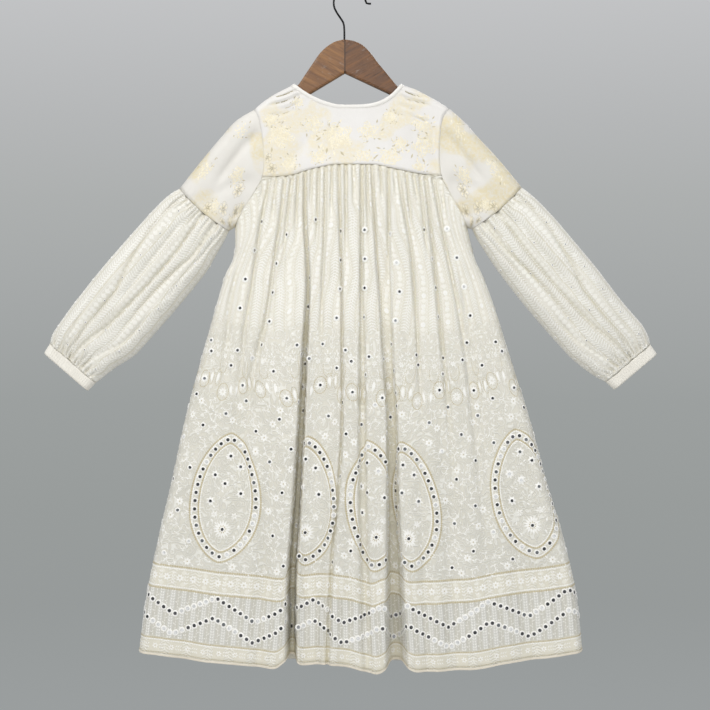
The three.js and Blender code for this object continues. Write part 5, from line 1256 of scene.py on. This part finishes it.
# ---------------------------------------------------------------- sleeves
def upper_grid(side, rows, steps):
    table = UPPER[side]
    line = ARM_LINE[side]
    top, pit = line[0], line[-1]
    chord = pit - top
    length = np.linalg.norm(chord)
    d = chord / length
    rel = line - top
    share = rel @ d / length
    bow_at = rel @ np.array([-d[1], d[0]])
    out = -1.0 if side == "left" else 1.0
    c = (1 - np.cos(np.linspace(0, np.pi, steps))) / 2
    bow = np.interp(c, share, bow_at)
    spread = c * .65 + (1 - np.cos(c * np.pi)) / 2 * .35
    ring_c = np.concatenate([c, c[::-1][1:-1]])
    keys = np.arange(5)
    grid = np.zeros((rows, len(ring_c), 3))
    sign = np.concatenate([np.full(steps, FACE["back"]), np.full(steps - 2, FACE["front"])])
    seam = np.stack([np.interp(c, share, line[:, 0]), np.interp(c, share, line[:, 1])], -1)
    for i, v in enumerate(np.linspace(0, 1, rows) ** 1.15 * 4):
        get = lambda k: float(curve(keys, column(table, k), v))
        T, B = np.array([get(0), get(1)]), np.array([get(2), get(3)])
        own = B - T
        ol = np.linalg.norm(own)
        own = own / ol
        across = np.array([-own[1], own[0]])
        p = T + own * (spread * ol)[:, None] + across * (bow * get(5) + out * get(6) * np.sin(spread * np.pi))[:, None]
        full = float(curve(keys[1:], column(table, 4)[1:], max(v, 1)))
        deep = full * round_off(spread * ol, full) * round_off((1 - spread) * ol, full)
        k = float(step(v / 1.0))
        if v < 1:
            q = seam * (1 - v) + p * v if v < .35 else p
            w0 = max(0.0, 1 - v / .35)
            q = seam * w0 + p * (1 - w0)
            deep = half_depth(seam[:, 0], seam[:, 1]) * (1 - k) + deep * k
            p = q
        x, z = p[:, 0], p[:, 1]
        edge = np.clip(np.minimum(spread, 1 - spread) * ol / 18, 0, 1)
        along = v / 4
        relief = {}
        for face in ("back", "front"):
            fold = np.zeros_like(x)
            flip = 1.0 if face == "back" else .7
            # cap creases off the armhole, a soft one down the middle, and puckers at the gathered seam
            fold += 4.2 * flip * np.exp(-((spread - (.16 + along * .34)) / .055) ** 2) * step(along / .12) * step((.85 - along) / .4)
            fold += 3.0 * flip * np.exp(-((spread - (.62 - along * .16)) / .07) ** 2) * step((along - .02) / .2) * step((.95 - along) / .4)
            fold += 3.4 * np.exp(-((spread - (.86 + along * .04)) / .05) ** 2) * step(along / .1) * step((.7 - along) / .5)
            fold += 1.1 * step((along - .86) / .14) * (.5 + .5 * np.cos(spread * 88 + 2 * np.sin(spread * 9)))
            fold -= .8 * np.sin(spread * 14 + along * 5) * np.sin(along * 9)
            relief[face] = fold * edge
        ys = np.concatenate([-(deep - relief["back"]), (deep - relief["front"])[::-1][1:-1]])
        grid[i, :, 0] = np.concatenate([x, x[::-1][1:-1]])
        grid[i, :, 1] = ys
        grid[i, :, 2] = np.concatenate([z, z[::-1][1:-1]])
    return grid


def lower_grid(side, rows_table, s_values, steps, folded, seam_end):
    L = LOWER[side]
    o, al, up = np.array(L["origin"]), np.array(L["along"]), np.array(L["up"])
    c = (1 - np.cos(np.linspace(0, np.pi, steps))) / 2
    c = c * .55 + np.linspace(0, 1, steps) * .45
    spread = c
    ks = column(rows_table, 0)
    grid = np.zeros((len(s_values), 2 * steps - 2, 3))
    for i, s in enumerate(s_values):
        top, bottom, depth = (float(curve(ks, column(rows_table, k), s)) for k in (1, 2, 3))
        span = top - bottom
        h = top - spread * span
        deep = depth * round_off(spread * span, depth) * round_off((1 - spread) * span, depth)
        near = (1 - step(s / 30)) if seam_end else 0.0
        along = s + 5 * np.sin(spread * np.pi) * near
        edge = np.clip(np.minimum(spread, 1 - spread) * span / 16, 0, 1)
        ys = []
        for face in ("back", "front"):
            trough = np.zeros_like(spread)
            if folded:
                for deepest, wide, line in SLEEVE_FOLDS[face]:
                    at = float(curve(column(line, 0), column(line, 1), s))
                    amount = float(np.interp(s, column(line, 0), column(line, 2)))
                    q = (spread - at) / wide
                    # a narrow valley line, one flank of each fold steeper than the other
                    trough += deepest * amount * (.62 * np.exp(-np.abs(np.where(q > 0, q * 2.4, q * .8)) ** 1.25) + .38 * np.exp(-(q * 2.6) ** 2))
                phase = 1.3 if face == "back" else 2.9
                # gathers at both ends, of uneven reach
                g = np.cos(spread * 2 * np.pi * 15 + 2.2 * np.sin(spread * 11 + phase) + phase)
                reach = 34 + 22 * np.sin(spread * 23 + phase * 3)
                trough += 4.2 * ((1 - g) / 2) ** 2.2 * step(s / 5) * (1 - step((s - 8) / reach))
                g2 = np.cos(spread * 2 * np.pi * 13 + 2.6 * np.sin(spread * 8 + phase * 2) + phase)
                reach2 = 30 + 20 * np.sin(spread * 19 + phase)
                left = 322 - s
                trough += 4.0 * ((1 - g2) / 2) ** 2.2 * step(left / 4) * (1 - step((left - 5) / reach2))
                trough += .5 * np.sin(spread * 31 + s / 19 + phase) * np.sin(s / 27 + spread * 9)
            else:
                trough = .34 * (1 - np.cos(spread * 2 * np.pi * 24 + 1.4 * np.sin(spread * 9)))
            ys.append(deep - trough * edge)
        p = o + al * along[:, None] + up * h[:, None]
        grid[i, :, 0] = np.concatenate([p[:, 0], p[::-1, 0][1:-1]])
        grid[i, :, 1] = np.concatenate([-ys[0], ys[1][::-1][1:-1]])
        grid[i, :, 2] = np.concatenate([p[:, 1], p[::-1, 1][1:-1]])
    return grid


def around(grid):
    closed = np.concatenate([grid, grid[:, :1]], axis=1)
    return np.linalg.norm(np.diff(closed, axis=1), axis=2).sum(axis=1)


def even_ring(grid, columns):
    """The same rings with points evenly spread round them."""
    out = np.zeros((len(grid), columns, 3))
    for i, ring in enumerate(grid):
        closed = np.concatenate([ring, ring[:1]])
        out[i] = along_line(closed, np.arange(columns) / columns)
    return out


def tube(name, grid, material, uv_b, wall_mm):
    rows, columns = grid.shape[:2]
    closed = np.concatenate([grid, grid[:, :1]], axis=1)
    seam = np.concatenate([np.zeros((rows, 1)), np.cumsum(np.linalg.norm(np.diff(closed, axis=1), axis=2), axis=1)], axis=1)
    mean = seam / seam[:, -1:] * around(grid).mean()
    uv = np.stack([mean[:, :columns], np.repeat(np.asarray(uv_b)[:, None], columns, 1)], -1)
    ob = mesh_from(name, grid, grid_faces(rows, columns, wrap=True), [material], uvs=uv, outward=grid - grid.mean(axis=1, keepdims=True))
    thicken(ob, wall_mm)
    return ob


# the scrolled flowers sit between the shoulder and the armpit
UPPER_SPRAYS = [(.10, .30, 40, .5), (.30, .22, 30, 2.0), (.24, .66, 34, 3.2), (.44, .50, 28, 1.0), (.07, .78, 28, 4.4), (.40, .84, 24, 2.4), (.60, .3, 36, 1.4), (.78, .55, 40, 3.8), (.92, .3, 30, .8), (.68, .82, 30, 5.0)]
for side in ("left", "right"):
    # upper sleeve
    grid = upper_grid(side, 34, 60)
    lengths = np.concatenate([[0], np.cumsum(np.linalg.norm(np.diff(grid, axis=0), axis=2).mean(axis=1))])
    ob = tube("sleeve_upper_cloth_" + side, grid, SLEEVE_TOP, lengths, .8)
    even = even_ring(grid, 120)
    mean = around(even).mean()
    s = Sheet(even, mean / 120, lengths[-1] - lengths, 1.0, 2.0, wrap=True)
    centre = np.nanmean(s.m, axis=1, keepdims=True)
    s.n *= 1.0 if np.nanmean(((s.m - centre) * s.n).sum(-1)) > 0 else -1.0
    w = Work(s)
    for fa, fb, size, turn in UPPER_SPRAYS:
        spray(w, fa * mean, fb * lengths[-1], size * .8, turn + (0 if side == "left" else 1.3))
    for fa, fb, size in ((.405, .70, 13), (.44, .42, 12), (.35, .34, 14), (.31, .68, 12), (.40, .16, 11), (.27, .10, 10), (.60, .6, 13), (.57, .25, 12), (.68, .4, 12)):
        rosette(w, fa * mean, fb * lengths[-1], size)
    stitches = w.build("sleeve_upper_embroidery_" + side, [GOLD, BEIGE, OLIVE, *MIRRORS])
    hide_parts("sleeve_upper_" + side)
    # lower sleeve
    L = LOWER[side]
    end = L["rows"][-1][0]
    t = np.linspace(0, 1, 96)
    s_values = end * (.5 - .5 * np.cos(t * np.pi)) * .4 + end * t * .6
    s_values[0], s_values[-1] = L["rows"][0][0], end
    grid = lower_grid(side, L["rows"], s_values, 84, True, True)
    ob = tube("sleeve_lower_cloth_" + side, grid, SLEEVE, s_values, .8)
    even = even_ring(grid, 150)
    mean = around(even).mean()
    s = Sheet(even, mean / 150, s_values, 1.0, 3.0, wrap=True)
    centre = np.nanmean(s.m, axis=1, keepdims=True)
    s.n *= 1.0 if np.nanmean(((s.m - centre) * s.n).sum(-1)) > 0 else -1.0
    w = Work(s)
    striped(w, 0, mean, 4, end - 3, mean / 16, mirrors=False, odd=0 if side == "left" else 1, dots=True)
    stitches = w.build("sleeve_lower_embroidery_" + side, THREADS)
    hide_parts("sleeve_lower_" + side)
    # cuff
    first, last = L["cuff"][0][0], L["cuff"][-1][0]
    s_values = np.linspace(first, last, 9)
    grid = lower_grid(side, L["cuff"], s_values, 130, False, False)
    puff = np.sin(np.linspace(0, np.pi, 9)) ** .6 * .9
    centre = grid.mean(axis=1, keepdims=True)
    grid[:, :, 1] += np.sign(grid[:, :, 1]) * puff[:, None]
    ob = tube("cuff_band_" + side, grid, CUFF, s_values, 1.4)
    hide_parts("cuff_" + side)


# ---------------------------------------------------------------- floor, light, camera
def pale_floor():
    m, tree, shader = nodes_of("studio_floor")
    tc = tree.nodes.new("ShaderNodeTexCoord")
    tree.links.new(ramp(tree, noise(tree, tc.outputs["Object"], 3.0, 2.0), [(.3, (.62, .62, .61)), (.7, (.66, .66, .65))]), shader.inputs["Base Color"])
    shader.inputs["Roughness"].default_value = .7
    me = bpy.data.meshes.new("floor")
    me.from_pydata([(-1.7, -2.3, -1.33), (1.7, -2.3, -1.33), (1.7, .68, -1.33), (-1.7, .68, -1.33)], [], [(0, 1, 2, 3)])
    me.materials.append(m)
    ob = bpy.data.objects.new("floor", me)
    bpy.context.scene.collection.objects.link(ob)
    ob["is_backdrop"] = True


def area(name, place, aim, size, watts, colour):
    data = bpy.data.lights.new(name, "AREA")
    data.shape = "RECTANGLE"
    data.size, data.size_y = size
    data.energy = watts
    data.color = colour
    ob = bpy.data.objects.new(name, data)
    ob.location = place
    d = np.array(aim, float) - np.array(place, float)
    from mathutils import Vector
    ob.rotation_mode = "QUATERNION"
    ob.rotation_quaternion = Vector(d).to_track_quat("-Z", "Y")
    bpy.context.scene.collection.objects.link(ob)
    return ob


def backdrop_light():
    """Plain grey studio air: paler high up, darker low down."""
    world = bpy.data.worlds.new("studio")
    bpy.context.scene.world = world
    world.use_nodes = True
    tree = world.node_tree
    tc = tree.nodes.new("ShaderNodeTexCoord")
    sep = tree.nodes.new("ShaderNodeSeparateXYZ")
    tree.links.new(tc.outputs["Generated"], sep.inputs[0])
    span = tree.nodes.new("ShaderNodeMapRange")
    span.inputs["From Min"].default_value = -.26
    span.inputs["From Max"].default_value = .26
    tree.links.new(sep.outputs["Z"], span.inputs["Value"])
    colour = ramp(tree, span.outputs["Result"], [(0.0, (.325, .343, .345)), (.10, (.325, .343, .345)), (.213, (.309, .326, .325)), (.329, (.317, .335, .331)), (.447, (.334, .352, .349)),
                                                    (.565, (.377, .392, .392)), (.6825, (.42, .434, .432)), (.775, (.464, .474, .479)), (.91, (.54, .547, .557)), (1.0, (.56, .567, .575))])
    tree.links.new(colour, tree.nodes["Background"].inputs["Color"])
    tree.nodes["Background"].inputs["Strength"].default_value = 1.0


pale_floor()
backdrop_light()
area("key", (-1.5, -2.2, 1.0), (0, 0, -.40), (1.0, 1.0), 28, (1.0, .99, .975))
area("front", (.05, -2.3, .75), (0, 0, -.45), (.5, 1.2), 18.5, (1.0, .995, .985))
area("fill", (1.7, -2.3, .2), (0, 0, -.5), (1.8, 1.8), 7, (.97, .985, 1.0))
area("top", (.1, -.5, 1.6), (0, 0, -.4), (1.2, .8), 4, (1.0, 1.0, 1.0))
area("rear", (.6, 2.6, .8), (0, 0, -.6), (1.8, 1.8), 26, (1.0, .99, .97))
camera = bpy.data.cameras.new("camera")
camera.sensor_width = 36.0
camera.lens = 82.4
camera.clip_start, camera.clip_end = .05, 40.0
eye = bpy.data.objects.new("camera", camera)
eye.location = (.0080, -2.6, -.5872)
eye.rotation_euler = (math.pi / 2, 0, 0)
bpy.context.scene.collection.objects.link(eye)
bpy.context.scene.camera = eye
bpy.context.scene.view_settings.view_transform = "Standard"
bpy.context.scene.view_settings.look = "None"

bpy.context.view_layer.update()
low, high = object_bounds()
